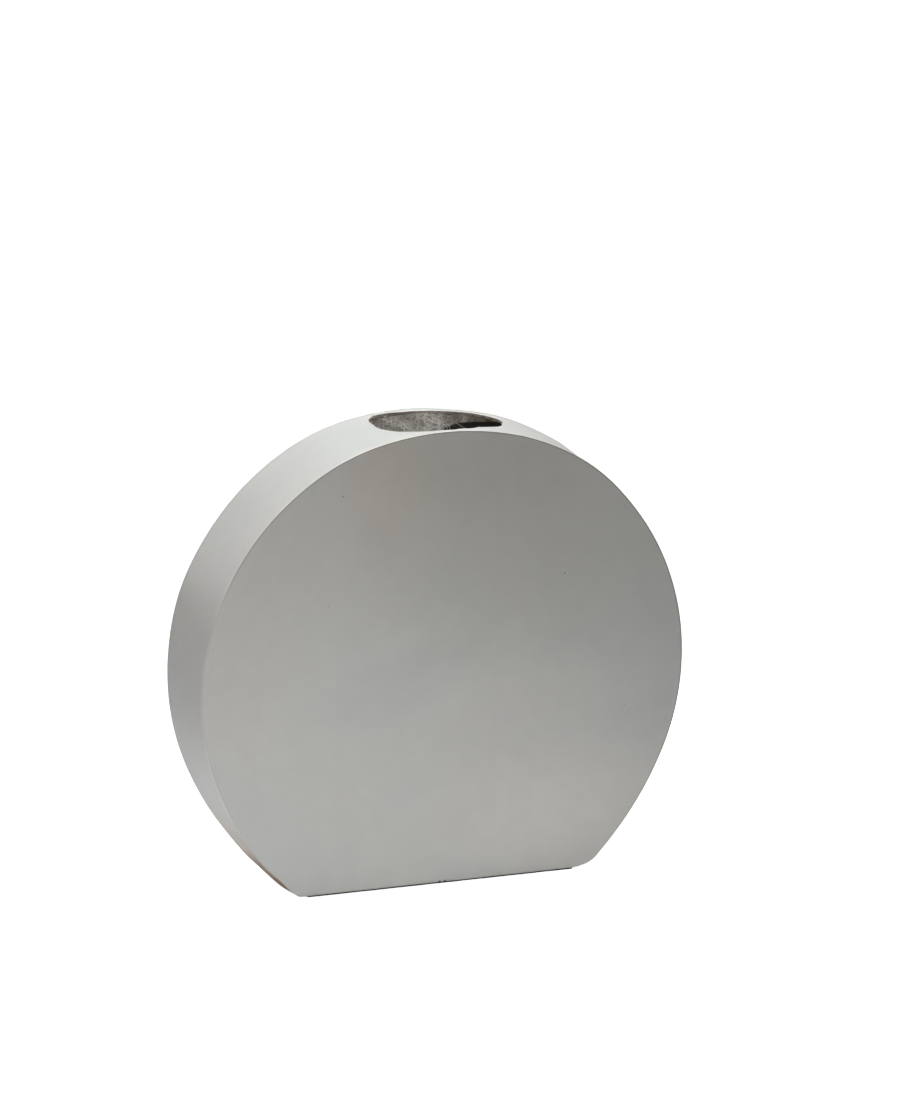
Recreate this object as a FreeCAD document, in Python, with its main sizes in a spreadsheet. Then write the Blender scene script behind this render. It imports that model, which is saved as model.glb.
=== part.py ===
"""Disc-shaped wall vase in hand-laid glass-fibre laminate.

The front shell carries the flat face, the rim band, the foot and the mouth.
A flat back panel closes it from behind and is held by a strip of bonding
tape laid round the inside corner.  Two timber blocks behind the panel take
flush keyhole hangers, and a thin dark pad covers the foot.

Frame: +X along the disc's width, +Y from the face towards the wall, +Z up.
The origin is on the floor, at the middle of the width and of the depth.
Millimetres.
"""
import FreeCAD, Part
import math
import os

import Sketcher

DOC = FreeCAD.newDocument("DiscVase")
SHEET = DOC.addObject("Spreadsheet::Sheet", "Sizes")

# Name, size in millimetres, what it measures.
SIZES = [
    ("disc_radius", 250.0, "outer radius of the rim band"),
    ("body_depth", 104.0, "front face to the rear edge of the rim band"),
    ("foot_rise", 42.0, "lowest point of the full circle up to the flat foot"),
    ("flank_start_drop", 91.5, "centre down to where the rim starts to straighten"),
    ("flank_opening", 66.0, "how much larger the rim's radius is from there down"),
    ("foot_corner_radius", 30.0, "corner between rim and foot"),
    ("crown_flattening", 38.0, "how much larger the radius is at the top, by the mouth"),
    ("shoulder_tightening", 38.0, "how much smaller it is between there and the round rim"),
    ("shoulder_half_width", 125.0, "centre line to the outer end of a shoulder"),
    ("laminate", 3.0, "wall of the front shell"),
    ("arris_radius", 1.2, "outer edge between the front face and the rim"),
    ("rear_bevel", 0.8, "outer edge of the rim at the rear"),
    ("resin_fillet", 5.0, "slope of resin in the corner of front wall and rim"),
    ("mouth_half_length", 68.5, "half of the mouth, along the width"),
    ("mouth_offset", 12.5, "middle of the mouth, right of the centre line"),
    ("mouth_front_lip", 6.5, "rim left between the mouth and the front face"),
    ("mouth_rear_lip", 6.5, "rim left between the mouth and the rear edge"),
    ("mouth_front_radius", 85.0, "bowed front edge of the mouth"),
    ("mouth_end_radius", 50.0, "front corners of the mouth"),
    ("mouth_rear_corner", 20.0, "rear corners of the mouth"),
    ("mouth_bevel", 0.6, "outer edge of the mouth, sanded off"),
    ("panel_thickness", 3.0, "back panel"),
    ("bond_gap", 0.2, "glue line between bonded pieces"),
    ("seat_gap", 0.1, "room under a piece that is screwed or stuck on"),
    ("tape_width", 20.0, "each leg of the bonding tape"),
    ("tape_thickness", 1.5, "laminate of the bonding tape"),
    ("hanger_half_spacing", 110.0, "centre line to each keyhole hanger"),
    ("hanger_rim_margin", 90.5, "rim of the disc in to the hangers' middle"),
    ("hanger_width", 20.0, "hanger plate across"),
    ("hanger_length", 52.0, "hanger plate up and down"),
    ("hanger_thickness", 2.0, "hanger plate"),
    ("hanger_corner", 4.0, "corners of the hanger plate"),
    ("cutout_clearance", 0.3, "room round the hanger in the panel's cut-out"),
    ("head_opening_radius", 5.0, "round end of the keyhole"),
    ("slot_half_width", 2.5, "narrow end of the keyhole"),
    ("slot_travel", 14.0, "round end's centre to narrow end's centre"),
    ("block_width", 60.0, "timber block across"),
    ("block_length", 72.0, "timber block up and down"),
    ("block_thickness", 15.0, "timber block"),
    ("block_corner", 6.0, "corners of the timber block"),
    ("head_pocket_radius", 6.5, "pocket for the wall screw's head"),
    ("head_pocket_depth", 9.0, "pocket into the block"),
    ("screw_margin", 7.0, "hanger's end to its screw"),
    ("screw_head_radius", 3.4, "countersunk head"),
    ("screw_shank_radius", 1.7, "shank"),
    ("screw_shank_length", 8.5, "straight shank below the head"),
    ("screw_tip_length", 2.5, "point"),
    ("screw_clearance", 0.15, "room round head and shank"),
    ("pad_thickness", 2.0, "dark pad under the foot"),
    ("pad_inset", 1.0, "foot's edge to the pad's edge"),
    ("pad_corner", 6.0, "corners of the pad"),
    ("bumper_radius", 6.0, "soft bumper that meets the wall"),
    ("bumper_height", 3.0, "bumper off the back panel"),
    ("bumper_bevel", 1.2, "outer edge of the bumper"),
    ("bumper_half_spacing", 95.0, "centre line to each bumper"),
    ("bumper_rise", 58.0, "foot up to the bumpers"),
]

for row, (alias, size, note) in enumerate(SIZES, start=1):
    SHEET.set("A%d" % row, note)
    SHEET.set("B%d" % row, str(size))
    SHEET.setAlias("B%d" % row, alias)
DOC.recompute()


def named(alias):
    """Return the expression that reads one cell of the sheet."""
    return "Sizes." + alias


def value(expression):
    """Return the number that an expression gives now."""
    return float(SHEET.evalExpression(expression))


# Radii of the outline's stretches.
FLANK_RADIUS = "(Sizes.disc_radius + Sizes.flank_opening)"
SHOULDER_RADIUS = "(Sizes.disc_radius - Sizes.shoulder_tightening)"
CROWN_RADIUS = "(Sizes.disc_radius + Sizes.crown_flattening)"
SIDE_RADII = ("Sizes.foot_corner_radius", FLANK_RADIUS, "Sizes.disc_radius", SHOULDER_RADIUS)

# Places worked out from the named sizes, relative to the disc's centre.
FOOT_DROP = "(Sizes.disc_radius - Sizes.foot_rise)"
SHOULDER_X = ("(Sizes.shoulder_tightening"
              " * Sizes.shoulder_half_width / Sizes.disc_radius)")
FLANK_Z = "(Sizes.flank_opening * Sizes.flank_start_drop / Sizes.disc_radius)"
FLANK_X = ("(-Sizes.flank_opening"
           " * sqrt(1 - (Sizes.flank_start_drop / Sizes.disc_radius) ^ 2))")
CORNER_Z = "(Sizes.foot_corner_radius - " + FOOT_DROP + ")"
CORNER_X = ("(" + FLANK_X + " + sqrt((" + FLANK_RADIUS + " - Sizes.foot_corner_radius) ^ 2"
            " - (" + CORNER_Z + " - " + FLANK_Z + ") ^ 2))")
HANGER_RISE = ("sqrt((Sizes.disc_radius - Sizes.hanger_rim_margin) ^ 2"
               " - Sizes.hanger_half_spacing ^ 2)")

# Planes of the whole vase.
STACK_DEPTH = "(Sizes.body_depth + Sizes.seat_gap + Sizes.bumper_height)"
FRONT_Y = "(-" + STACK_DEPTH + " / 2)"
REAR_Y = "(" + FRONT_Y + " + Sizes.body_depth)"
FOOT_Z = "(Sizes.pad_thickness + Sizes.bond_gap)"
CENTRE_Z = "(" + FOOT_Z + " + " + FOOT_DROP + ")"
HANGER_Z = "(" + CENTRE_Z + " + " + HANGER_RISE + ")"

# Depths measured from the front face.
PANEL_Y = "(Sizes.body_depth - Sizes.panel_thickness)"
TAPE_BACK_Y = "(" + PANEL_Y + " - Sizes.bond_gap)"

# Depths measured inwards from the rear edge, for the hangers.
BLOCK_FACE = "(Sizes.panel_thickness + Sizes.bond_gap)"
PLATE_OUTER = "(" + BLOCK_FACE + " - Sizes.seat_gap - Sizes.hanger_thickness)"
SCREW_REACH = "(Sizes.hanger_length / 2 - Sizes.screw_margin)"


class Profile:
    """One closed sketch whose sizes are bound to the sheet."""

    def __init__(self, body, label, role, offset="0"):
        self.sketch = body.newObject("Sketcher::SketchObject", label)
        plane = [one for one in body.Origin.OriginFeatures if one.Role == role][0]
        self.sketch.AttachmentSupport = [(plane, "")]
        self.sketch.MapMode = "FlatFace"
        self.sketch.setExpression("AttachmentOffset.Base.z", offset)
        self.count = 0

    def line(self, start, end):
        """Add a line and return its number."""
        first = FreeCAD.Vector(start[0], start[1], 0)
        last = FreeCAD.Vector(end[0], end[1], 0)
        return self.sketch.addGeometry(Part.LineSegment(first, last), False)

    def arc(self, centre, radius, start, end):
        """Add an arc between two directions in degrees and return its number."""
        middle = FreeCAD.Vector(centre[0], centre[1], 0)
        circle = Part.Circle(middle, FreeCAD.Vector(0, 0, 1), radius)
        curve = Part.ArcOfCircle(circle, math.radians(start), math.radians(end))
        return self.sketch.addGeometry(curve, False)

    def circle(self, centre, radius):
        """Add a full circle and return its number."""
        middle = FreeCAD.Vector(centre[0], centre[1], 0)
        return self.sketch.addGeometry(Part.Circle(middle, FreeCAD.Vector(0, 0, 1), radius), False)

    def tie(self, kind, *places):
        """Add a constraint without a size."""
        self.sketch.addConstraint(Sketcher.Constraint(kind, *places))

    def bind(self, kind, places, expression):
        """Add a constraint whose size follows an expression."""
        self.count += 1
        name = "%s_%d" % (kind.lower(), self.count)
        number = self.sketch.addConstraint(Sketcher.Constraint(kind, *places, value(expression)))
        self.sketch.renameConstraint(number, name)
        self.sketch.setExpression("Constraints." + name, expression)

    def chain(self, pieces):
        """Join each piece's end to the next one's start without a corner."""
        for first, second in zip(pieces, pieces[1:] + pieces[:1]):
            self.tie("Tangent", first, 2, second, 1)


def direction(point, centre):
    """Return the direction from a centre to a point, in degrees."""
    return math.degrees(math.atan2(point[1] - centre[1], point[0] - centre[0]))


def disc_outline(profile, inset):
    """Draw the disc's outline, moved inwards by an expression."""
    step = value(inset)
    radius = value(named("disc_radius"))
    shoulder_x = value(SHOULDER_X)
    bend = math.asin(value(named("shoulder_half_width")) / radius)
    shoulder_z = shoulder_x / math.tan(bend)
    reach = value(CROWN_RADIUS) - value(SHOULDER_RADIUS)
    lean = math.asin(shoulder_x / reach)
    crown_z = shoulder_z - reach * math.cos(lean)
    flank = (value(FLANK_X), value(FLANK_Z))
    corner = (value(CORNER_X), value(CORNER_Z))
    crown_side = 90 - math.degrees(lean)
    shoulder_side = 90 - math.degrees(bend)
    flank_side = -math.degrees(math.asin(value(named("flank_start_drop")) / radius))
    corner_side = direction(corner, flank)
    foot_z = step - value(FOOT_DROP)

    foot = profile.line((-corner[0], foot_z), (corner[0], foot_z))
    sizes = [value(radius_here) - step for radius_here in SIDE_RADII]
    right_centres = [corner, flank, (0, 0), (shoulder_x, shoulder_z)]
    sides = [-90, corner_side, flank_side, shoulder_side, crown_side]
    right = [profile.arc(centre, size, sides[place], sides[place + 1])
             for place, (centre, size) in enumerate(zip(right_centres, sizes))]
    crown = profile.arc((0, crown_z), value(CROWN_RADIUS) - step,
                        crown_side, 180 - crown_side)
    left = [profile.arc((-right_centres[place][0], right_centres[place][1]), sizes[place],
                        180 - sides[place + 1], 180 - sides[place])
            for place in (3, 2, 1, 0)]
    profile.chain([foot] + right + [crown] + left)

    for number, radius_here in zip(right, SIDE_RADII):
        profile.bind("Radius", (number,), radius_here + " - " + inset)
    for first, second in zip(right, reversed(left)):
        profile.tie("Equal", first, second)
    profile.bind("Radius", (crown,), CROWN_RADIUS + " - " + inset)
    for number in (right[2], left[1]):
        profile.tie("Coincident", number, 3, -1, 1)
    profile.bind("DistanceX", (-1, 1, right[3], 3), SHOULDER_X)
    profile.bind("DistanceX", (left[0], 3, -1, 1), SHOULDER_X)
    profile.bind("DistanceY", (-1, 1, right[1], 3), FLANK_Z)
    profile.bind("DistanceY", (-1, 1, left[2], 3), FLANK_Z)
    profile.tie("Horizontal", foot)
    profile.bind("DistanceY", (foot, 1, -1, 1), FOOT_DROP + " - " + inset)


def mouth_outline(profile, grow):
    """Draw the mouth in plan, made larger all round by an expression."""
    more = value(grow)
    offset = value(named("mouth_offset"))
    reach = value(named("mouth_half_length")) + more
    bow = value(named("mouth_front_radius")) + more
    end = value(named("mouth_end_radius")) + more
    rear = value(named("mouth_rear_corner")) + more
    near = value(named("mouth_front_lip")) - more
    far = value(named("body_depth")) - value(named("mouth_rear_lip")) + more
    spread = math.degrees(math.asin((reach - end) / (bow - end)))
    end_y = near + bow - (bow - end) * math.cos(math.radians(spread))

    front = profile.arc((offset, near + bow), bow, 270 - spread, 270 + spread)
    right_end = profile.arc((offset + reach - end, end_y), end, spread - 90, 0)
    right_side = profile.line((offset + reach, end_y), (offset + reach, far - rear))
    right_rear = profile.arc((offset + reach - rear, far - rear), rear, 0, 90)
    back = profile.line((offset + reach - rear, far), (offset - reach + rear, far))
    left_rear = profile.arc((offset - reach + rear, far - rear), rear, 90, 180)
    left_side = profile.line((offset - reach, far - rear), (offset - reach, end_y))
    left_end = profile.arc((offset - reach + end, end_y), end, 180, 270 - spread)
    profile.chain([front, right_end, right_side, right_rear, back, left_rear, left_side, left_end])

    profile.tie("Vertical", right_side)
    profile.tie("Vertical", left_side)
    profile.tie("Horizontal", back)
    profile.tie("Equal", right_end, left_end)
    profile.tie("Equal", right_rear, left_rear)
    profile.bind("Radius", (front,), named("mouth_front_radius") + " + " + grow)
    profile.bind("Radius", (right_end,), named("mouth_end_radius") + " + " + grow)
    profile.bind("Radius", (right_rear,), named("mouth_rear_corner") + " + " + grow)
    profile.bind("DistanceX", (-1, 1, front, 3), named("mouth_offset"))
    profile.bind("DistanceX", (left_side, 1, right_side, 1),
                 "2 * (Sizes.mouth_half_length + " + grow + ")")
    profile.bind("DistanceX", (front, 3, right_side, 1), "Sizes.mouth_half_length + " + grow)
    profile.bind("DistanceY", (-1, 1, front, 3), "Sizes.mouth_front_lip + Sizes.mouth_front_radius")
    profile.bind("DistanceY", (-1, 1, back, 1),
                 "Sizes.body_depth - Sizes.mouth_rear_lip + " + grow)


def rounded_rectangle(profile, half_width, half_length, corner):
    """Draw a rectangle with round corners about the sketch's origin."""
    wide, long, bend = value(half_width), value(half_length), value(corner)
    bottom = profile.line((bend - wide, -long), (wide - bend, -long))
    lower_right = profile.arc((wide - bend, bend - long), bend, -90, 0)
    right = profile.line((wide, bend - long), (wide, long - bend))
    upper_right = profile.arc((wide - bend, long - bend), bend, 0, 90)
    top = profile.line((wide - bend, long), (bend - wide, long))
    upper_left = profile.arc((bend - wide, long - bend), bend, 90, 180)
    left = profile.line((-wide, long - bend), (-wide, bend - long))
    lower_left = profile.arc((bend - wide, bend - long), bend, 180, 270)
    profile.chain([bottom, lower_right, right, upper_right, top, upper_left, left, lower_left])
    for number in (bottom, top):
        profile.tie("Horizontal", number)
    for number in (left, right):
        profile.tie("Vertical", number)
    profile.bind("Radius", (lower_right,), corner)
    for number in (upper_right, upper_left, lower_left):
        profile.tie("Equal", lower_right, number)
    profile.bind("DistanceX", (-1, 1, right, 1), half_width)
    profile.bind("DistanceX", (left, 1, -1, 1), half_width)
    profile.bind("DistanceY", (-1, 1, top, 1), half_length)
    profile.bind("DistanceY", (bottom, 1, -1, 1), half_length)


def keyhole_outline(profile):
    """Draw a keyhole: a round head opening with a narrow slot above it."""
    opening = value(named("head_opening_radius"))
    narrow = value(named("slot_half_width"))
    low = -value(named("slot_travel")) / 2
    gap = math.degrees(math.asin(narrow / opening))
    neck = low + math.sqrt(opening ** 2 - narrow ** 2)
    head = profile.arc((0, low), opening, 90 + gap, 450 - gap)
    right = profile.line((narrow, neck), (narrow, -low))
    top = profile.arc((0, -low), narrow, 0, 180)
    left = profile.line((-narrow, -low), (-narrow, neck))
    profile.tie("Coincident", head, 2, right, 1)
    profile.tie("Tangent", right, 2, top, 1)
    profile.tie("Tangent", top, 2, left, 1)
    profile.tie("Coincident", left, 2, head, 1)
    profile.tie("Vertical", right)
    profile.tie("Vertical", left)
    profile.tie("PointOnObject", head, 3, -2)
    profile.tie("PointOnObject", top, 3, -2)
    profile.bind("Radius", (head,), named("head_opening_radius"))
    profile.bind("Radius", (top,), named("slot_half_width"))
    profile.bind("DistanceY", (head, 3, -1, 1), "Sizes.slot_travel / 2")
    profile.bind("DistanceY", (-1, 1, top, 3), "Sizes.slot_travel / 2")


def obround_outline(profile, radius, half_travel):
    """Draw an upright slot with round ends about the sketch's origin."""
    bend, reach = value(radius), value(half_travel)
    right = profile.line((bend, -reach), (bend, reach))
    top = profile.arc((0, reach), bend, 0, 180)
    left = profile.line((-bend, reach), (-bend, -reach))
    bottom = profile.arc((0, -reach), bend, 180, 360)
    profile.chain([right, top, left, bottom])
    profile.tie("Vertical", right)
    profile.tie("PointOnObject", top, 3, -2)
    profile.tie("PointOnObject", bottom, 3, -2)
    profile.bind("Radius", (top,), radius)
    profile.bind("DistanceY", (-1, 1, top, 3), half_travel)
    profile.bind("DistanceY", (bottom, 3, -1, 1), half_travel)


def two_circles(profile, radius, reach):
    """Draw one circle above and one below the sketch's origin."""
    upper = profile.circle((0, value(reach)), value(radius))
    lower = profile.circle((0, -value(reach)), value(radius))
    profile.tie("Equal", upper, lower)
    for number in (upper, lower):
        profile.tie("PointOnObject", number, 3, -2)
    profile.bind("Radius", (upper,), radius)
    profile.bind("DistanceY", (-1, 1, upper, 3), reach)
    profile.bind("DistanceY", (lower, 3, -1, 1), reach)


def new_body(name, place):
    """Start a body at a place given by three expressions."""
    body = DOC.addObject("PartDesign::Body", name)
    body.Label = name
    bind_place(body, place)
    DOC.recompute()
    return body


def bind_place(item, place):
    """Bind an object's position to three expressions."""
    for axis, expression in zip("xyz", place):
        item.setExpression("Placement.Base." + axis, expression)


def pad(body, profile, label, length, reverse=False):
    """Raise a profile by an expression."""
    feature = body.newObject("PartDesign::Pad", label)
    feature.Profile = profile.sketch
    feature.setExpression("Length", length)
    feature.Reversed = reverse
    profile.sketch.Visibility = False
    DOC.recompute()
    return feature


def pocket(body, profile, label, length=None, reverse=False):
    """Cut a profile, right through where no length is given."""
    before = body.Shape.Volume
    feature = body.newObject("PartDesign::Pocket", label)
    feature.Profile = profile.sketch
    if length is None:
        feature.Type = "ThroughAll"
    else:
        feature.setExpression("Length", length)
    feature.Reversed = reverse
    DOC.recompute()
    if body.Shape.Volume >= before:
        raise RuntimeError(label + " cuts nothing")
    return feature


def finish_edges(body, base, label, kind, size, pick):
    """Put a Fillet or a Chamfer on the edges of a feature that a test picks."""
    names = ["Edge%d" % (number + 1) for number, edge in enumerate(base.Shape.Edges) if pick(edge)]
    if not names:
        raise RuntimeError(label + " finds no edge")
    feature = body.newObject("PartDesign::" + kind, label)
    feature.Base = (base, names)
    feature.setExpression({"Fillet": "Radius", "Chamfer": "Size"}[kind], named(size))
    DOC.recompute()
    return feature


def lies_at_depth(edge, depth):
    """Tell whether an edge lies in the plane at one depth."""
    near = value(named("seat_gap")) / 2
    box = edge.BoundBox
    return abs(box.YMin - depth) < near and abs(box.YMax - depth) < near


def is_outer(edge):
    """Tell whether an edge of the rim's rear belongs to the outer outline."""
    middle = edge.valueAt((edge.FirstParameter + edge.LastParameter) / 2)
    near = value(named("laminate")) / 4
    if edge.Curve.TypeId == "Part::GeomLine":
        return abs(middle.z + value(FOOT_DROP)) < near
    return any(abs(edge.Curve.Radius - value(radius)) < near
               for radius in SIDE_RADII + (CROWN_RADIUS,))


def is_mouth_wall(face):
    """Tell whether a face was left by the mouth's upright cut."""
    first, last, low, high = face.ParameterRange
    along, up = (first + last) / 2, (low + high) / 2
    middle = face.valueAt(along, up)
    near = value(named("seat_gap"))
    sideways = abs(middle.x - value(named("mouth_offset")))
    within = sideways <= value(named("mouth_half_length")) + near
    above = face.BoundBox.ZMin > value(named("disc_radius")) / 2
    return within and above and abs(face.normalAt(along, up).z) < math.sin(math.radians(1)) \
        and value(named("laminate")) < middle.y < value(named("body_depth"))


def build_front_shell():
    """Mould the face, rim band and foot, hollow them and cut the mouth."""
    body = new_body("front_shell", ("0", FRONT_Y, CENTRE_Z))
    outside = Profile(body, "shell_outline", "XZ_Plane")
    disc_outline(outside, "0")
    pad(body, outside, "shell_block", named("body_depth"), reverse=True)

    inside = Profile(body, "cavity_outline", "XZ_Plane", "-Sizes.laminate")
    disc_outline(inside, named("laminate"))
    hollow = pocket(body, inside, "cavity")

    wall = value(named("laminate"))
    depth = value(named("body_depth"))
    corner = finish_edges(body, hollow, "inner_corner", "Chamfer", "resin_fillet",
                          lambda edge: lies_at_depth(edge, wall))
    arris = finish_edges(body, corner, "arris", "Fillet", "arris_radius",
                         lambda edge: lies_at_depth(edge, 0))
    finish_edges(body, arris, "rear_edge", "Chamfer", "rear_bevel",
                 lambda edge: lies_at_depth(edge, depth) and is_outer(edge))

    mouth = Profile(body, "mouth_outline", "XY_Plane")
    mouth_outline(mouth, "0")
    opened = pocket(body, mouth, "mouth", reverse=True)

    walls = [face for face in opened.Shape.Faces if is_mouth_wall(face)]
    rims = []
    for face in walls:
        level = [edge for edge in face.Edges if abs(edge.tangentAt(edge.FirstParameter).z) < 0.9]
        rims.append(max(level, key=lambda edge: edge.CenterOfMass.z))
    finish_edges(body, opened, "mouth_edge", "Chamfer", "mouth_bevel",
                 lambda edge: any(edge.isSame(rim) for rim in rims))
    return body


def build_back_panel():
    """Cut the flat panel that closes the shell, with two hanger cut-outs."""
    body = new_body("back_panel", ("0", FRONT_Y, CENTRE_Z))
    outline = Profile(body, "panel_outline", "XZ_Plane", "-" + PANEL_Y)
    disc_outline(outline, "(Sizes.laminate + Sizes.bond_gap)")
    pad(body, outline, "panel_sheet", named("panel_thickness"), reverse=True)
    for side, label in ((-1, "left"), (1, "right")):
        window = Profile(body, "cutout_outline_" + label, "XZ_Plane", "-" + PANEL_Y)
        window.sketch.setExpression("AttachmentOffset.Base.x",
                                    "%d * Sizes.hanger_half_spacing" % side)
        window.sketch.setExpression("AttachmentOffset.Base.y", HANGER_RISE)
        rounded_rectangle(window, "Sizes.hanger_width / 2 + Sizes.cutout_clearance",
                          "Sizes.hanger_length / 2 + Sizes.cutout_clearance",
                          "Sizes.hanger_corner + Sizes.cutout_clearance")
        pocket(body, window, "cutout_" + label)
    return body


def build_bonding_tape():
    """Lay the tape round the inside corner of back panel and rim."""
    body = new_body("bonding_tape", ("0", FRONT_Y, CENTRE_Z))
    outer = "(Sizes.laminate + Sizes.bond_gap)"
    flat = Profile(body, "panel_leg_outline", "XZ_Plane",
                   "-(" + TAPE_BACK_Y + " - Sizes.tape_thickness)")
    disc_outline(flat, outer)
    disc_outline(flat, "(Sizes.laminate + Sizes.bond_gap + Sizes.tape_width)")
    pad(body, flat, "panel_leg", named("tape_thickness"), reverse=True)
    round_the_rim = Profile(body, "rim_leg_outline", "XZ_Plane",
                            "-(" + TAPE_BACK_Y + " - Sizes.tape_width)")
    disc_outline(round_the_rim, outer)
    disc_outline(round_the_rim, "(Sizes.laminate + Sizes.bond_gap + Sizes.tape_thickness)")
    pad(body, round_the_rim, "rim_leg", named("tape_width"), reverse=True)
    notch = Profile(body, "mouth_notch_outline", "XY_Plane")
    mouth_outline(notch, named("bond_gap"))
    pocket(body, notch, "mouth_notch", reverse=True)
    return body


def hanger_place(side):
    """Return where one hanger's middle lies, at the rear edge of the rim."""
    return ("%d * Sizes.hanger_half_spacing" % side, REAR_Y, HANGER_Z)


def build_hanger_block(side, label):
    """Shape one timber block, with the head pocket and pilot holes."""
    body = new_body("hanger_block_" + label, hanger_place(side))
    outline = Profile(body, "block_outline_" + label, "XZ_Plane", BLOCK_FACE)
    rounded_rectangle(outline, "Sizes.block_width / 2", "Sizes.block_length / 2",
                      named("block_corner"))
    pad(body, outline, "block_" + label, named("block_thickness"))
    recess = Profile(body, "head_pocket_outline_" + label, "XZ_Plane", BLOCK_FACE)
    obround_outline(recess, named("head_pocket_radius"), "Sizes.slot_travel / 2")
    pocket(body, recess, "head_pocket_" + label, named("head_pocket_depth"), reverse=True)
    pilots = Profile(body, "pilot_outline_" + label, "XZ_Plane", BLOCK_FACE)
    two_circles(pilots, "Sizes.screw_shank_radius + Sizes.screw_clearance", SCREW_REACH)
    pocket(body, pilots, "pilots_" + label,
           "Sizes.screw_shank_length + Sizes.screw_tip_length", reverse=True)
    return body


def build_keyhole_hanger(side, label):
    """Cut one hanger plate with its keyhole and two countersunk holes."""
    body = new_body("keyhole_hanger_" + label, hanger_place(side))
    outline = Profile(body, "hanger_outline_" + label, "XZ_Plane", PLATE_OUTER)
    rounded_rectangle(outline, "Sizes.hanger_width / 2", "Sizes.hanger_length / 2",
                      named("hanger_corner"))
    pad(body, outline, "hanger_plate_" + label, named("hanger_thickness"))
    slot = Profile(body, "keyhole_outline_" + label, "XZ_Plane", PLATE_OUTER)
    keyhole_outline(slot)
    pocket(body, slot, "keyhole_" + label, reverse=True)
    places = Profile(body, "screw_hole_outline_" + label, "XZ_Plane", PLATE_OUTER)
    two_circles(places, "Sizes.screw_shank_radius + Sizes.screw_clearance", SCREW_REACH)
    DOC.recompute()
    before = body.Shape.Volume
    holes = body.newObject("PartDesign::Hole", "screw_holes_" + label)
    holes.Profile = places.sketch
    holes.Reversed = True
    holes.DepthType = "ThroughAll"
    holes.setExpression("Diameter", "2 * (Sizes.screw_shank_radius + Sizes.screw_clearance)")
    holes.HoleCutType = "Countersink"
    holes.HoleCutCustomValues = True
    holes.setExpression("HoleCutDiameter", "2 * (Sizes.screw_head_radius + Sizes.screw_clearance)")
    holes.HoleCutCountersinkAngle = 90
    DOC.recompute()
    if body.Shape.Volume >= before:
        raise RuntimeError("screw holes cut nothing")
    return body


def build_screw(side, end, label):
    """Turn one countersunk wood screw, driven from the rear."""
    head = DOC.addObject("Part::Cone", "head_" + label)
    head.setExpression("Radius1", named("screw_head_radius"))
    head.setExpression("Radius2", named("screw_shank_radius"))
    head.setExpression("Height", "Sizes.screw_head_radius - Sizes.screw_shank_radius")
    shank = DOC.addObject("Part::Cylinder", "shank_" + label)
    shank.setExpression("Radius", named("screw_shank_radius"))
    shank.setExpression("Height", named("screw_shank_length"))
    shank.setExpression("Placement.Base.z", "Sizes.screw_head_radius - Sizes.screw_shank_radius")
    tip = DOC.addObject("Part::Cone", "tip_" + label)
    tip.setExpression("Radius1", named("screw_shank_radius"))
    tip.Radius2 = 0
    tip.setExpression("Height", named("screw_tip_length"))
    tip.setExpression("Placement.Base.z", "Sizes.screw_head_radius - Sizes.screw_shank_radius"
                                          " + Sizes.screw_shank_length")
    screw = DOC.addObject("Part::MultiFuse", "screw_" + label)
    screw.Shapes = [head, shank, tip]
    screw.Refine = True
    screw.Placement = FreeCAD.Placement(FreeCAD.Vector(0, 0, 0),
                                        FreeCAD.Rotation(FreeCAD.Vector(1, 0, 0), 90))
    bind_place(screw, ("%d * Sizes.hanger_half_spacing" % side,
                       "%s - %s" % (REAR_Y, PLATE_OUTER),
                       "%s + %d * %s" % (HANGER_Z, end, SCREW_REACH)))
    return screw


def build_hanger_screws():
    """Gather the four hanger screws in one group."""
    screws = [build_screw(side, end, "%s_%s" % (across, level))
              for side, across in ((-1, "left"), (1, "right"))
              for end, level in ((-1, "lower"), (1, "upper"))]
    group = DOC.addObject("Part::Compound", "hanger_screws")
    group.Label = "hanger_screws"
    group.Links = screws
    return group


def build_base_pad():
    """Cut the dark pad that covers the foot."""
    depth_middle = "(" + FRONT_Y + " + Sizes.body_depth / 2)"
    body = new_body("base_pad", ("0", depth_middle, "0"))
    outline = Profile(body, "pad_outline", "XY_Plane")
    rounded_rectangle(outline, CORNER_X + " - Sizes.pad_inset",
                      "Sizes.body_depth / 2 - Sizes.pad_inset", named("pad_corner"))
    pad(body, outline, "pad_sheet", named("pad_thickness"))
    return body


def build_wall_bumpers():
    """Make the two soft bumpers low on the back panel."""
    bumpers = []
    for side, label in ((-1, "left"), (1, "right")):
        disc = DOC.addObject("Part::Cylinder", "bumper_disc_" + label)
        disc.setExpression("Radius", named("bumper_radius"))
        disc.setExpression("Height", named("bumper_height"))
        DOC.recompute()
        height = value(named("bumper_height"))
        bevel = value(named("bumper_bevel"))
        bumper = DOC.addObject("Part::Chamfer", "bumper_" + label)
        bumper.Base = disc
        bumper.Edges = [(number + 1, bevel, bevel)
                        for number, edge in enumerate(disc.Shape.Edges)
                        if abs(edge.BoundBox.ZMin - height) < bevel / 2]
        bumper.Placement = FreeCAD.Placement(FreeCAD.Vector(0, 0, 0),
                                             FreeCAD.Rotation(FreeCAD.Vector(1, 0, 0), -90))
        bind_place(bumper, ("%d * Sizes.bumper_half_spacing" % side,
                            REAR_Y + " + Sizes.seat_gap",
                            FOOT_Z + " + Sizes.bumper_rise"))
        bumpers.append(bumper)
    group = DOC.addObject("Part::Compound", "wall_bumpers")
    group.Label = "wall_bumpers"
    group.Links = bumpers
    return group


def check(pieces):
    """Stop if any object failed or any piece's shape is unsound."""
    failed = [item.Name for item in DOC.Objects
              if "Invalid" in item.State or "Error" in item.State]
    if failed:
        raise RuntimeError("failed objects: " + ", ".join(failed))
    for piece in pieces:
        if piece.Shape.isNull() or not piece.Shape.isValid() or not piece.Shape.Solids:
            raise RuntimeError(piece.Label + " is not a sound solid")


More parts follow.
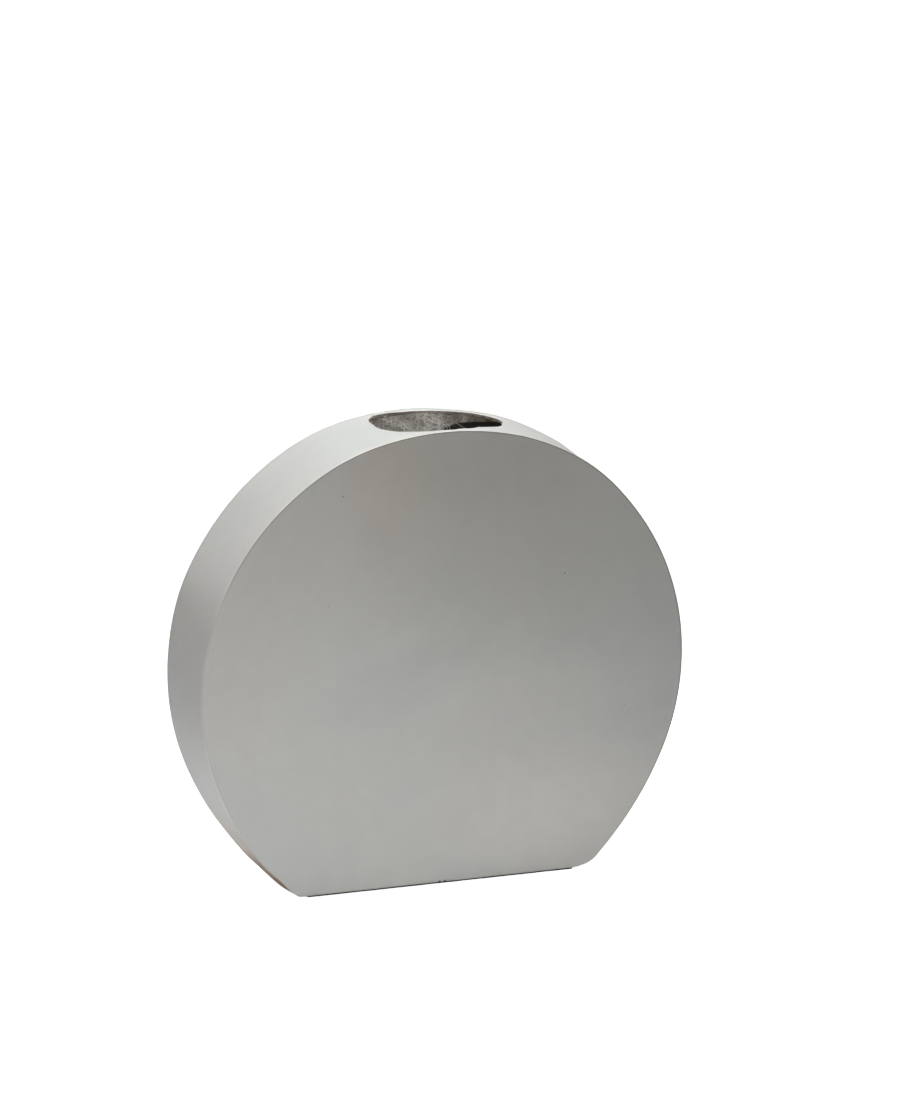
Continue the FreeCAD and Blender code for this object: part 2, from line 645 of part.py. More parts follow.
def main():
    """Build every piece and write its file."""
    pieces = [build_front_shell(), build_back_panel(), build_bonding_tape()]
    for side, label in ((-1, "left"), (1, "right")):
        pieces.append(build_hanger_block(side, label))
        pieces.append(build_keyhole_hanger(side, label))
    pieces += [build_hanger_screws(), build_base_pad(), build_wall_bumpers()]
    DOC.recompute()
    check(pieces)
    os.makedirs("parts", exist_ok=True)
    for piece in pieces:
        piece.Shape.exportStep("parts/%s.step" % piece.Label)
        box = piece.Shape.BoundBox
        print("%-22s solids %d  volume %9.1f  x %.1f..%.1f  y %.1f..%.1f  z %.1f..%.1f" % (
            piece.Label, len(piece.Shape.Solids), piece.Shape.Volume,
            box.XMin, box.XMax, box.YMin, box.YMax, box.ZMin, box.ZMax))


main()
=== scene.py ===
"""Looks of a disc-shaped wall vase in hand-laid glass-fibre laminate.

The moulded shell, its back panel, the bonding tape, the hangers and the foot
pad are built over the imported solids, in metres and in the same frame: +X along
the disc's width, +Y from the face towards the wall, +Z up.
"""

import logging
import math
from collections.abc import Callable, Iterable, Sequence
from dataclasses import dataclass, field
from enum import Enum

import bmesh
import bpy
import numpy as np
from bpy.types import Material, Node, NodeSocket, NodeTree, Object
from mathutils import Matrix, Vector


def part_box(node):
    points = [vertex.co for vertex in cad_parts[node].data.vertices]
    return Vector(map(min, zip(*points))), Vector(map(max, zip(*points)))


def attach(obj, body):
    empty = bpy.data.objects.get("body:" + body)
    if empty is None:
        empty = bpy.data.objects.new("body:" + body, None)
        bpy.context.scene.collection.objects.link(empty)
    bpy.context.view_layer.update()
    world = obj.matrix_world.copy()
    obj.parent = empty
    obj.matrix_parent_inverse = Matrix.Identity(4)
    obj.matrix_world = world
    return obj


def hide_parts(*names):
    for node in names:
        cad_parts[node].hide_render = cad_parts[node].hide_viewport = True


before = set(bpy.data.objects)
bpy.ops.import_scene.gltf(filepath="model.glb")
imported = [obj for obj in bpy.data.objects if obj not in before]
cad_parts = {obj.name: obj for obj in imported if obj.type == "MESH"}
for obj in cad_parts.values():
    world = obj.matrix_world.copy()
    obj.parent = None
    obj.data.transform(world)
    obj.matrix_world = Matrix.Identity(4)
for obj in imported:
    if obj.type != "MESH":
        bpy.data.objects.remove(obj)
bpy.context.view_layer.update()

LOG = logging.getLogger("wall_vase")
MM = 0.001
QUARTER = math.pi / 2

# Planes of the face and of the rear edge, and the disc's middle.
FACE_Y = -53.55 * MM
REAR_Y = 50.45 * MM
CENTRE_Z = 210.2 * MM

Colour = tuple[float, float, float, float]
# A point of an outline and the outward normal there.
Spot = tuple[float, float, float, float]
Triple = tuple[float, float, float]
Move = Callable[[np.ndarray], np.ndarray]
Given = NodeSocket | float | tuple[float, ...]


class Slot(Enum):
    """Material slots of the record."""

    LACQUER = "lacquered_laminate"
    BACK = "back_laminate"
    RAW = "raw_laminate"
    TIMBER = "timber"
    PLATED = "plated_steel"
    SCREW = "screw_steel"
    FOOT_RUBBER = "dark_rubber"
    BUMPER_RUBBER = "bumper_rubber"


# Outlines.
@dataclass(frozen=True)
class Arc:
    """One stretch of an outline with a constant radius, directions in radians."""

    centre: tuple[float, float]
    radius: float
    start: float
    end: float

    def length(self) -> float:
        """Return the stretch's length."""
        return abs(self.end - self.start) * self.radius

    def at(self, share: float) -> Spot:
        """Give one place on the stretch.

        Args:
            share: how far along the stretch, 0 to 1.

        Returns:
            The point and the outward normal, as four numbers.
        """
        turn = self.start + (self.end - self.start) * share
        c, s = math.cos(turn), math.sin(turn)
        return self.centre[0] + self.radius * c, self.centre[1] + self.radius * s, c, s


@dataclass(frozen=True)
class Straight:
    """A straight stretch of an outline."""

    start: tuple[float, float]
    end: tuple[float, float]

    def length(self) -> float:
        """Return the stretch's length."""
        return math.dist(self.start, self.end)

    def at(self, share: float) -> Spot:
        """Give one place on the stretch.

        Args:
            share: how far along the stretch, 0 to 1.

        Returns:
            The point and the outward normal, as four numbers.
        """
        dx, dz = self.end[0] - self.start[0], self.end[1] - self.start[1]
        size = math.hypot(dx, dz)
        return self.start[0] + dx * share, self.start[1] + dz * share, dz / size, -dx / size


Outline = list[Arc | Straight]


def walk(stretches: Outline, count: int) -> np.ndarray:
    """Space places evenly along a closed chain of stretches.

    Args:
        stretches: the chain, in order.
        count: number of places.

    Returns:
        One row a place: two for the point, two for the outward normal.
    """
    ends = np.cumsum([one.length() for one in stretches])
    rows = []
    for distance in np.linspace(0, ends[-1], count, endpoint=False):
        place = int(np.searchsorted(ends, distance, side="right"))
        before = ends[place - 1] if place else 0.0
        rows.append(stretches[place].at((distance - before) / stretches[place].length()))
    return np.array(rows)


@dataclass(frozen=True)
class DiscOutline:
    """Outline of the disc seen from the front, about its centre."""

    radius: float = 250 * MM
    foot_drop: float = 208 * MM
    flank_drop: float = 91.5 * MM
    flank_radius: float = 316 * MM
    foot_corner: float = 30 * MM
    crown_radius: float = 288 * MM
    shoulder_radius: float = 212 * MM
    shoulder_half_width: float = 125 * MM

    def stretches(self) -> Outline:
        """Return the eleven stretches, from the foot's middle round by the right."""
        bend = math.asin(self.shoulder_half_width / self.radius)
        shoulder_x = (self.radius - self.shoulder_radius) * self.shoulder_half_width / self.radius
        shoulder_z = shoulder_x / math.tan(bend)
        reach = self.crown_radius - self.shoulder_radius
        lean = math.asin(shoulder_x / reach)
        opening = self.flank_radius - self.radius
        drop = self.flank_drop / self.radius
        flank = (-opening * math.sqrt(1 - drop ** 2), opening * drop)
        corner_z = self.foot_corner - self.foot_drop
        span = math.sqrt((self.flank_radius - self.foot_corner) ** 2 - (corner_z - flank[1]) ** 2)
        corner = (flank[0] + span, corner_z)
        corner_side = math.atan2(corner[1] - flank[1], corner[0] - flank[0])
        sides = [-QUARTER, corner_side, -math.asin(drop), QUARTER - bend, QUARTER - lean]
        centres = [corner, flank, (0.0, 0.0), (shoulder_x, shoulder_z)]
        radii = [self.foot_corner, self.flank_radius, self.radius, self.shoulder_radius]
        right = [Arc(*one) for one in zip(centres, radii, sides, sides[1:])]
        crown = Arc((0.0, shoulder_z - reach * math.cos(lean)), self.crown_radius,
                    sides[4], math.pi - sides[4])
        left = [Arc((-one.centre[0], one.centre[1]), one.radius, math.pi - one.end,
                    math.pi - one.start) for one in reversed(right)]
        return [Straight((0.0, -self.foot_drop), (corner[0], -self.foot_drop)),
                *right, crown, *left,
                Straight((-corner[0], -self.foot_drop), (0.0, -self.foot_drop))]

    def places(self, count: int) -> np.ndarray:
        """Return evenly spaced places and normals."""
        return walk(self.stretches(), count)


def inset_ring(rows: np.ndarray, inset: np.ndarray | float,
               depth: np.ndarray | float) -> np.ndarray:
    """Place a ring of points inside the disc's outline.

    Args:
        rows: the outline's places and normals.
        inset: distance inwards, one number or one for each place.
        depth: along Y, one number or one for each place.

    Returns:
        One row a point.
    """
    return np.column_stack([rows[:, 0] - inset * rows[:, 2], depth + 0 * rows[:, 0],
                            rows[:, 1] - inset * rows[:, 3] + CENTRE_Z])


def round_ring(radius: np.ndarray | float, depth: np.ndarray | float,
               count: int) -> np.ndarray:
    """Place a ring of points round the depth axis."""
    turns = np.linspace(0, math.tau, count, endpoint=False)
    return np.column_stack([radius * np.cos(turns), depth + 0 * turns, radius * np.sin(turns)])


@dataclass(frozen=True)
class MouthOutline:
    """Plan of the mouth, seen from above."""

    half_length: float = 68.5 * MM
    offset: float = 12.5 * MM
    near: float = -47.05 * MM
    far: float = 43.95 * MM
    bow: float = 85 * MM
    end: float = 50 * MM
    rear_corner: float = 20 * MM
    # Direction in degrees, millimetres outwards.
    sawn: tuple[tuple[float, float], ...] = (
        (-170, -1.8), (-150, 1.3), (-128, 2.6), (-104, 0.0), (-78, -3.3), (-50, -7.2),
        (-24, -6.2), (-2, -5.5), (17, 1.8), (36, -5.9), (60, -4.3), (90, -4.4), (118, -3.7),
        (137, -0.1), (156, -2.9))
    smoothing: float = 11.0
    samples: int = 6000

    def strays(self, angles: np.ndarray) -> np.ndarray:
        """Give how far the saw strayed from the drawn line.

        Args:
            angles: directions in radians.

        Returns:
            Metres outwards, one for each direction.
        """
        knots = np.array(self.sawn)
        away = (np.degrees(angles)[:, None] - knots[:, 0] + 180) % 360 - 180
        weight = np.exp(-(away / self.smoothing) ** 2) + 1e-12
        return weight @ knots[:, 1] / weight.sum(axis=1) * MM

    def turns(self, rows: np.ndarray) -> np.ndarray:
        """Return the directions of points about the mouth's middle, in radians."""
        middle_y = (self.near + self.far) / 2
        return np.arctan2(rows[:, 1] - middle_y, rows[:, 0] - self.offset)

    def stretches(self) -> Outline:
        """Return the stretches, counter-clockwise from the front's left end."""
        spread = math.asin((self.half_length - self.end) / (self.bow - self.end))
        end_y = self.near + self.bow - (self.bow - self.end) * math.cos(spread)
        east, west = self.offset + self.half_length, self.offset - self.half_length
        rear_y, corner = self.far - self.rear_corner, self.rear_corner
        return [
            Arc((self.offset, self.near + self.bow), self.bow, -QUARTER - spread,
                -QUARTER + spread),
            Arc((east - self.end, end_y), self.end, -QUARTER + spread, 0.0),
            Straight((east, end_y), (east, rear_y)),
            Arc((east - corner, rear_y), corner, 0.0, QUARTER),
            Straight((east - corner, self.far), (west + corner, self.far)),
            Arc((west + corner, rear_y), corner, QUARTER, math.pi),
            Straight((west, rear_y), (west, end_y)),
            Arc((west + self.end, end_y), self.end, math.pi, math.pi + QUARTER - spread),
        ]

    def towards(self, angles: np.ndarray) -> np.ndarray:
        """Find where rays from the middle meet the outline.

        Args:
            angles: directions in radians.

        Returns:
            One row a ray: two for the point, two for the outward normal.
        """
        rows = walk(self.stretches(), self.samples)
        turns = np.unwrap(self.turns(rows)) % math.tau
        order = np.argsort(turns)
        found = np.array([np.interp(angles % math.tau, turns[order], rows[order, k],
                                    period=math.tau) for k in range(4)]).T
        found[:, 2:] /= np.linalg.norm(found[:, 2:], axis=1)[:, None]
        found[:, :2] += found[:, 2:] * self.strays(angles)[:, None]
        return found


@dataclass(frozen=True)
class HandShape:
    """How the laid-up rim departs from the drawn outline, by direction and depth."""

    # Direction in degrees, width in degrees, millimetres outwards.
    at_rear: tuple[Triple, ...] = (
        (81.0, 13.0, -2.8), (100.0, 9.0, -0.7), (48.5, 8.5, 3.9), (-130.0, 4.5, 1.2),
        (161.0, 10.0, 1.2))
    at_front: tuple[Triple, ...] = ((52.0, 9.0, 1.2), (-128.5, 3.5, 1.8))
    at_face: tuple[Triple, ...] = (
        (-129.8, 4.2, -4.3), (-125.4, 1.5, 1.7), (-51.0, 1.6, 0.5), (-54.4, 1.2, -0.5))
    foot_z: float = 2.2 * MM
    foot_reach: float = 40 * MM
    rubbed_down: float = 0.07 * MM
    # Shares of the disc's radius between which the move grows from nothing to all.
    calm: float = 0.72
    fading: float = 0.2

    def outwards(self, degrees: np.ndarray, depth: np.ndarray) -> np.ndarray:
        """Give the distance outwards.

        Args:
            degrees: directions about the disc's centre.
            depth: 0 at the face, 1 at the rear edge.

        Returns:
            Metres outwards, one for each direction.
        """
        total = np.full_like(degrees, -self.rubbed_down)
        for bumps, share in ((self.at_rear, depth ** 1.3), (self.at_front, 1 - depth),
                             (self.at_face, (1 - depth) ** 9)):
            for middle, width, amount in bumps:
                total += amount * MM * share * np.exp(-((degrees - middle) / width) ** 2)
        return total

    def move(self, points: np.ndarray) -> np.ndarray:
        """Move points of the rim, and leave those well inside it.

        Args:
            points: one row a point.

        Returns:
            The moved points.
        """
        x, z = points[:, 0], points[:, 2] - CENTRE_Z
        size = np.maximum(np.hypot(x, z), 1e-9)
        depth = np.clip((points[:, 1] - FACE_Y) / (REAR_Y - FACE_Y), 0, 1)
        weight = np.clip((size / DiscOutline.radius - self.calm) / self.fading, 0, 1)
        weight = weight * weight * (3 - 2 * weight)
        out = self.outwards(np.degrees(np.arctan2(z, x)), depth) * weight
        moved = points.copy()
        moved[:, 0] += out * x / size
        moved[:, 2] += out * z / size
        moved[:, 2] = np.where(points[:, 2] < self.foot_z + self.foot_reach,
                               np.maximum(moved[:, 2], np.minimum(points[:, 2], self.foot_z)),
                               moved[:, 2])
        return moved


def ripple(values: np.ndarray, waves: Sequence[Triple]) -> np.ndarray:
    """Add up sine waves, for the unevenness of hand work.

    Args:
        values: where along the line.
        waves: cycles per unit, height and phase of each wave.

    Returns:
        The sum at each place.
    """
    return sum(height * np.sin(math.tau * cycles * values + phase)
               for cycles, height, phase in waves)


# Meshes.
def link(name: str, data: bpy.types.ID) -> Object:
    """Make an object of its data and put it in the scene."""
    piece = bpy.data.objects.new(name, data)
    bpy.context.scene.collection.objects.link(piece)
    return piece


def smooth(mesh: bpy.types.Mesh, angle: float) -> None:
    """Shade a mesh smoothly, apart from edges sharper than the angle, in degrees."""
    mesh.set_sharp_from_angle(angle=math.radians(angle))
    mesh.polygons.foreach_set("use_smooth", [True] * len(mesh.polygons))
    mesh.update()


@dataclass
class MeshSketch:
    """Points and faces collected for one piece."""

    points: list[np.ndarray] = field(default_factory=list)
    faces: list[tuple[int, ...]] = field(default_factory=list)
    finishes: list[int] = field(default_factory=list)
    marks: list[np.ndarray] = field(default_factory=list)
    count: int = 0

    def add(self, rows: np.ndarray, mark: float = 0.0) -> np.ndarray:
        """Add points.

        Args:
            rows: one row a point.
            mark: value kept in the mark attribute.

        Returns:
            Their numbers.
        """
        numbers = np.arange(self.count, self.count + len(rows))
        self.points.append(np.asarray(rows, dtype=float))
        self.marks.append(np.full(len(rows), mark))
        self.count += len(rows)
        return numbers

    def face(self, corners: tuple[int, ...], finish: int = 0, flip: bool = False) -> None:
        """Add one face, the other way round if flipped."""
        self.faces.append(corners[::-1] if flip else corners)
        self.finishes.append(finish)

    def strip(self, first: np.ndarray, second: np.ndarray, finish: int = 0,
              closed: bool = True, flip: bool = False) -> None:
        """Join two rows of points by quads.

        Args:
            first: numbers of the one row.
            second: numbers of the other row, as many.
            finish: which of the piece's materials.
            closed: whether the last quad returns to the start.
            flip: whether the faces point the other way.
        """
        for k in range(len(first) if closed else len(first) - 1):
            n = (k + 1) % len(first)
            quad = (int(first[k]), int(first[n]), int(second[n]), int(second[k]))
            self.face(quad, finish, flip)

    def chain(self, before: np.ndarray, rows: Iterable[np.ndarray], finish: int = 0,
              flip: bool = False, mark: float = 0.0) -> np.ndarray:
        """Join a ring of points to further rings, one after another.

        Args:
            before: numbers of the first ring.
            rows: points of each further ring.
            finish: which of the piece's materials.
            flip: whether the faces point the other way.
            mark: value kept in the mark attribute.

        Returns:
            Numbers of the last ring.
        """
        for points in rows:
            numbers = self.add(points, mark)
            self.strip(before, numbers, finish, flip=flip)
            before = numbers
        return before

    def fan(self, rim: np.ndarray, tip: Triple, finish: int = 0, flip: bool = False) -> None:
        """Close a ring of points to one point."""
        end = int(self.add(np.array([tip]))[0])
        for k in range(len(rim)):
            self.face((int(rim[k]), int(rim[(k + 1) % len(rim)]), end), finish, flip)

    def turned(self, rings: Sequence[np.ndarray], start: Triple) -> np.ndarray:
        """Close a row of rings at its start, as in a turned body, and return the last ring."""
        first = self.add(rings[0])
        self.fan(first, start)
        return self.chain(first, rings[1:], flip=True)

    def finish(self, name: str, materials: Sequence[Material], move: Move | None = None,
               smooth_angle: float = 38.0) -> Object:
        """Make the object.

        Args:
            name: the piece's name.
            materials: its materials, in the order of the face numbers.
            move: a last move of all points.
            smooth_angle: edges sharper than this stay sharp, in degrees.

        Returns:
            The new object, at the origin.
        """
        points = np.vstack(self.points)
        if move is not None:
            points = move(points)
        mesh = bpy.data.meshes.new(name)
        mesh.from_pydata([tuple(row) for row in points], [], self.faces)
        mesh.polygons.foreach_set("material_index", self.finishes)
        mark = mesh.attributes.new("mark", "FLOAT", "POINT")
        mark.data.foreach_set("value", np.concatenate(self.marks))
        for one in materials:
            mesh.materials.append(one)
        mesh.validate()
        smooth(mesh, smooth_angle)
        return link(name, mesh)


def plain_mesh(piece: Object, smooth_angle: float = 40.0) -> Object:
    """Turn a mesh with live modifiers into a plain one.

    Args:
        piece: the object, changed in place.
        smooth_angle: edges sharper than this stay sharp, in degrees.

    Returns:
        The same object.
    """
    graph = bpy.context.evaluated_depsgraph_get()
    graph.update()
    result = bpy.data.meshes.new_from_object(piece.evaluated_get(graph),
                                             preserve_all_data_layers=True, depsgraph=graph)
    piece.modifiers.clear()
    piece.data = result
    result.name = piece.name
    smooth(result, smooth_angle)
    return piece


def merged_copy(node: str, name: str, material: Material, bevel: float,
                move: Move | None = None) -> Object:
    """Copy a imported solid, join its loose triangles and break its edges.

    Args:
        node: the solid's name.
        name: the new piece's name.
        material: its finish.
        bevel: width of the broken edges.
        move: a move of all points before that.

    Returns:
        The new piece.
    """
    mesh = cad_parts[node].data.copy()
    work = bmesh.new()
    work.from_mesh(mesh)
    bmesh.ops.remove_doubles(work, verts=work.verts, dist=1e-6)
    bmesh.ops.dissolve_limit(work, angle_limit=math.radians(0.5), verts=work.verts,
                             edges=work.edges)
    if move is not None:
        places = move(np.array([v.co[:] for v in work.verts]))
        for vert, place in zip(work.verts, places):
            vert.co = Vector(place)
    work.to_mesh(mesh)
    work.free()
    mesh.materials.clear()
    mesh.materials.append(material)
    piece = link(name, mesh)
    breaker = piece.modifiers.new("broken_edges", "BEVEL")
    breaker.width = bevel
    breaker.segments = 3
    breaker.limit_method = "ANGLE"
    breaker.angle_limit = math.radians(40)
    return plain_mesh(piece)


def seat(piece: Object, slot: Slot, *nodes: str) -> None:
    """Tie a piece to the vase's one body and hide the solids it stands for."""
    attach(piece, "root")
    if nodes:
        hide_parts(*nodes)
    LOG.info("%s: %d faces", piece.name, len(piece.data.polygons))


# Node trees.
@dataclass
class Tree:
    """Short hand for building a node tree."""

    nodes: NodeTree

    def feed(self, socket: NodeSocket, given: Given) -> None:
        """Link a socket to another, or set its value."""
        if isinstance(given, NodeSocket):
            self.nodes.links.new(given, socket)
        else:
            socket.default_value = given

    def add(self, kind: str, inputs: dict[str | int, Given] | None = None,
            **settings: object) -> Node:
        """Add a node.

        Args:
            kind: Blender's name for it.
            inputs: links or values, by socket name or number.
            settings: the node's own properties.

        Returns:
            The node.
        """
        node = self.nodes.nodes.new(kind)
        for key, setting in settings.items():
            setattr(node, key, setting)
        for key, given in (inputs or {}).items():
            self.feed(node.inputs[key], given)
        return node

    def sum(self, kind: str, *given: Given) -> NodeSocket:
        """Work out one number from others, with Blender's Math node."""
        return self.add("ShaderNodeMath", dict(enumerate(given)), operation=kind).outputs[0]

    def plus(self, first: Given, second: Given) -> NodeSocket:
        """Add two numbers."""
        return self.sum("ADD", first, second)

    def times(self, first: Given, second: Given) -> NodeSocket:
        """Multiply two numbers."""
        return self.sum("MULTIPLY", first, second)

    def vector(self, kind: str, *given: Given) -> NodeSocket:
        """Work out one vector from others, with Blender's Vector Math node."""
        return self.add("ShaderNodeVectorMath", dict(enumerate(given)),
                        operation=kind).outputs[0]

    def distance(self, kind: str, *given: Given) -> NodeSocket:
        """Work out one number from vectors, with Blender's Vector Math node."""
        return self.vector(kind, *given).node.outputs["Value"]

    def scaled(self, given: NodeSocket, share: Given) -> NodeSocket:
        """Make a vector longer or shorter."""
        longer = self.vector("SCALE", given)
        self.feed(longer.node.inputs["Scale"], share)
        return longer

    def colour(self, share: Given, first: Given, second: Given,
               blend: str = "MIX") -> NodeSocket:
        """Mix two colours."""
        return self.add("ShaderNodeMix", {0: share, 6: first, 7: second}, data_type="RGBA",
                        blend_type=blend).outputs[2]

    def spread(self, given: Given, low: float, high: float, to_low: float = 0.0,
               to_high: float = 1.0) -> NodeSocket:
        """Stretch a range of numbers to another, softly, and keep to it."""
        return self.add("ShaderNodeMapRange", {0: given, 1: low, 2: high, 3: to_low, 4: to_high},
                        interpolation_type="SMOOTHSTEP").outputs[0]

    def noise(self, place: Given, scale: Given, detail: float = 2.0,
              rough: float = 0.5) -> NodeSocket:
        """Give soft noise, 0 to 1."""
        return self.add("ShaderNodeTexNoise", {"Vector": place, "Scale": scale,
                                               "Detail": detail, "Roughness": rough}).outputs[0]

    def drift(self, place: Given, scale: float) -> NodeSocket:
        """Give soft noise in three directions."""
        return self.add("ShaderNodeTexNoise", {"Vector": place, "Scale": scale,
                                               "Detail": 1.0}).outputs["Color"]

    def cells(self, place: Given, scale: Given) -> NodeSocket:
        """Give the distance to the nearest of scattered points."""
        return self.add("ShaderNodeTexVoronoi", {"Vector": place,
                                                 "Scale": scale}).outputs["Distance"]

    def parts(self, place: NodeSocket) -> list[NodeSocket]:
        """Take a place apart into its three numbers."""
        return list(self.add("ShaderNodeSeparateXYZ", {0: place}).outputs)

    def group(self, effect: NodeTree, **inputs: Given) -> list[NodeSocket]:
        """Place an effect group.

        Args:
            effect: the group.
            inputs: its values, by name.

        Returns:
            Its outputs, in order.
        """
        node = self.add("ShaderNodeGroup", node_tree=effect)
        for label, given in inputs.items():
            self.feed(node.inputs[label], given)
        return list(node.outputs)


def rgb(red: float, green: float, blue: float) -> Colour:
    """Turn a screen colour of 0 to 255 into the linear one."""
    line = [v / 255 / 12.92 if v <= 10.3 else ((v / 255 + 0.055) / 1.055) ** 2.4
            for v in (red, green, blue)]
    return line[0], line[1], line[2], 1.0


@dataclass
class Effect:
    """An open shader node group, with its inputs and its object coordinates."""

    tree: Tree
    given: dict[str, NodeSocket]
    leave: Node
    place: NodeSocket

    def close(self, **results: NodeSocket) -> NodeTree:
        """Give the group its outputs.

        Args:
            results: the outputs, by name.

        Returns:
            The group.
        """
        for label, result in results.items():
            self.tree.nodes.interface.new_socket(label, in_out="OUTPUT",
                                                 socket_type="NodeSocketFloat")
            self.tree.feed(self.leave.inputs[label], result)
        return self.tree.nodes


def open_effect(name: str, **inputs: float) -> Effect:
    """Open a group of the material effects.

    Args:
        name: the group's name.
        inputs: its number inputs and their usual values.

    Returns:
        The open group.
    """
    group = bpy.data.node_groups.new(name, "ShaderNodeTree")
    for label, usual in inputs.items():
        socket = group.interface.new_socket(label, in_out="INPUT", socket_type="NodeSocketFloat")
        socket.default_value = usual
    tree = Tree(group)
    entry = tree.add("NodeGroupInput")
    leave = tree.add("NodeGroupOutput")
    place = tree.add("ShaderNodeTexCoord").outputs["Object"]
    return Effect(tree, {label: entry.outputs[label] for label in inputs}, leave, place)


class Effects:
    """Shader node groups that several finishes share."""

    def __init__(self) -> None:
        """Build each group once."""
        self.clouding = self.make_clouding()
        self.spray = self.make_spray()
        self.strands = self.make_strands()
        self.wear_highlight_group = self.make_wear_highlight()

    @staticmethod
    def make_clouding() -> NodeTree:
        """Return broad soft patches and fine ones, about zero, as in hand-rubbed lacquer."""
        effect = open_effect("soft_clouding", Scale=6.0, Bend=0.12)
        tree, place, scale = effect.tree, effect.place, effect.given["Scale"]
        moved = tree.vector("ADD", place, tree.scaled(tree.drift(place, 5.0),
                                                      effect.given["Bend"]))
        broad = tree.noise(moved, scale, 1.5, 0.45)
        fine = tree.noise(moved, tree.times(scale, 9.0), 3.0, 0.55)
        return effect.close(Broad=tree.sum("SUBTRACT", broad, 0.5),
                            Fine=tree.sum("SUBTRACT", fine, 0.5))

    @staticmethod
    def make_spray() -> NodeTree:
        """Return sprayed lacquer: orange peel, dust nibs and pin specks."""
        effect = open_effect("sprayed_film", Peel=420.0, Dust=70.0)
        tree, place, dust = effect.tree, effect.place, effect.given["Dust"]
        peel = tree.noise(place, effect.given["Peel"], 1.0, 0.4)
        nibs = tree.times(tree.spread(tree.cells(place, dust), 0.05, 0.02),
                          tree.spread(tree.noise(place, 23.0, 1.0), 0.5, 0.6))
        moved = tree.vector("ADD", place, (0.37, 0.11, 0.73))
        pits = tree.times(tree.spread(tree.cells(moved, tree.times(dust, 0.55)), 0.035, 0.018),
                          tree.spread(tree.noise(moved, 17.0, 1.0), 0.5, 0.62))
        height = tree.sum("SUBTRACT", tree.plus(peel, tree.times(nibs, 3.0)),
                          tree.times(pits, 3.0))
        return effect.close(Height=height, Nibs=nibs, Pits=pits)

    @staticmethod
    def make_strands() -> NodeTree:
        """Return chopped glass strands lying at all angles in resin."""
        effect = open_effect("chopped_strands", Across=520.0, Along=46.0, Cover=0.58)
        tree, place = effect.tree, effect.place
        base = tree.vector("ADD", place, tree.scaled(tree.drift(place, 22.0), 0.012))
        scale = tree.add("ShaderNodeCombineXYZ", {0: effect.given["Along"], 1: 90.0,
                                                  2: effect.given["Across"]}).outputs[0]
        total: Given = 0.0
        for turn in (12.0, 57.0, 101.0, 148.0):
            turned = tree.add("ShaderNodeVectorRotate",
                              {"Vector": base, "Axis": (0.0, 1.0, 0.0),
                               "Angle": math.radians(turn)}).outputs[0]
            layer = tree.noise(tree.vector("MULTIPLY", turned, scale), 1.0, 0.0)
            total = tree.sum("MAXIMUM", total, tree.spread(layer, 0.60, 0.70))
        patch = tree.spread(tree.noise(place, 30.0, 2.0), 0.38, 0.55)
        amount = tree.times(total, tree.times(patch, effect.given["Cover"]))
        return effect.close(Strands=amount, Height=total)

    @staticmethod
    def make_wear_highlight() -> NodeTree:
        """Return edge wear and painted highlight from the piece's own mark, broken up by noise.
        """
        effect = open_effect("edge_wear", Mark=0.0)
        tree = effect.tree
        broad = tree.noise(effect.place, 14.0, 2.0)
        return effect.close(Rubbed=tree.times(effect.given["Mark"],
                                              tree.spread(broad, 0.3, 0.65)))


# Finishes.
@dataclass
class OpenFinish:
    """An open material: its tree, its shader and its object coordinates."""

    material: Material
    tree: Tree
    shader: Node
    place: NodeSocket

    def close(self, tone: NodeSocket, height: NodeSocket, relief: float, strength: float,
              rough: NodeSocket | None = None) -> Material:
        """Link what the shader shows.

        Args:
            tone: colour.
            height: relief's height, in its own unit.
            relief: metres that one unit stands for.
            strength: how much of the relief shows.
            rough: roughness where it varies.

        Returns:
            The material.
        """
        node = self.tree.add("ShaderNodeBump", {"Strength": strength, "Distance": relief,
                                                "Height": height})
        self.tree.feed(self.shader.inputs["Base Color"], tone)
        self.tree.feed(self.shader.inputs["Normal"], node.outputs[0])
        if rough is not None:
            self.tree.feed(self.shader.inputs["Roughness"], rough)
        return self.material


def open_finish(name: str, roughness: float, **constants: float) -> OpenFinish:
    """Start a material with one Principled shader.

    Args:
        name: the material's name.
        roughness: its usual roughness.
        constants: other plain values of the shader, with underscores for spaces.

    Returns:
        The open material.
    """
    material = bpy.data.materials.new(name)
    material.use_nodes = True
    tree = Tree(material.node_tree)
    shader = material.node_tree.nodes["Principled BSDF"]
    shader.inputs["Roughness"].default_value = roughness
    for label, amount in constants.items():
        shader.inputs[label.replace("_", " ")].default_value = amount
    return OpenFinish(material, tree, shader,
                      tree.add("ShaderNodeTexCoord").outputs["Object"])


@dataclass(frozen=True)
class FacePatch:
    """A faint patch of colour on the face: place, half sizes, strength and colour."""

    across: float
    up: float
    wide: float
    high: float
    amount: float
    tint: Colour


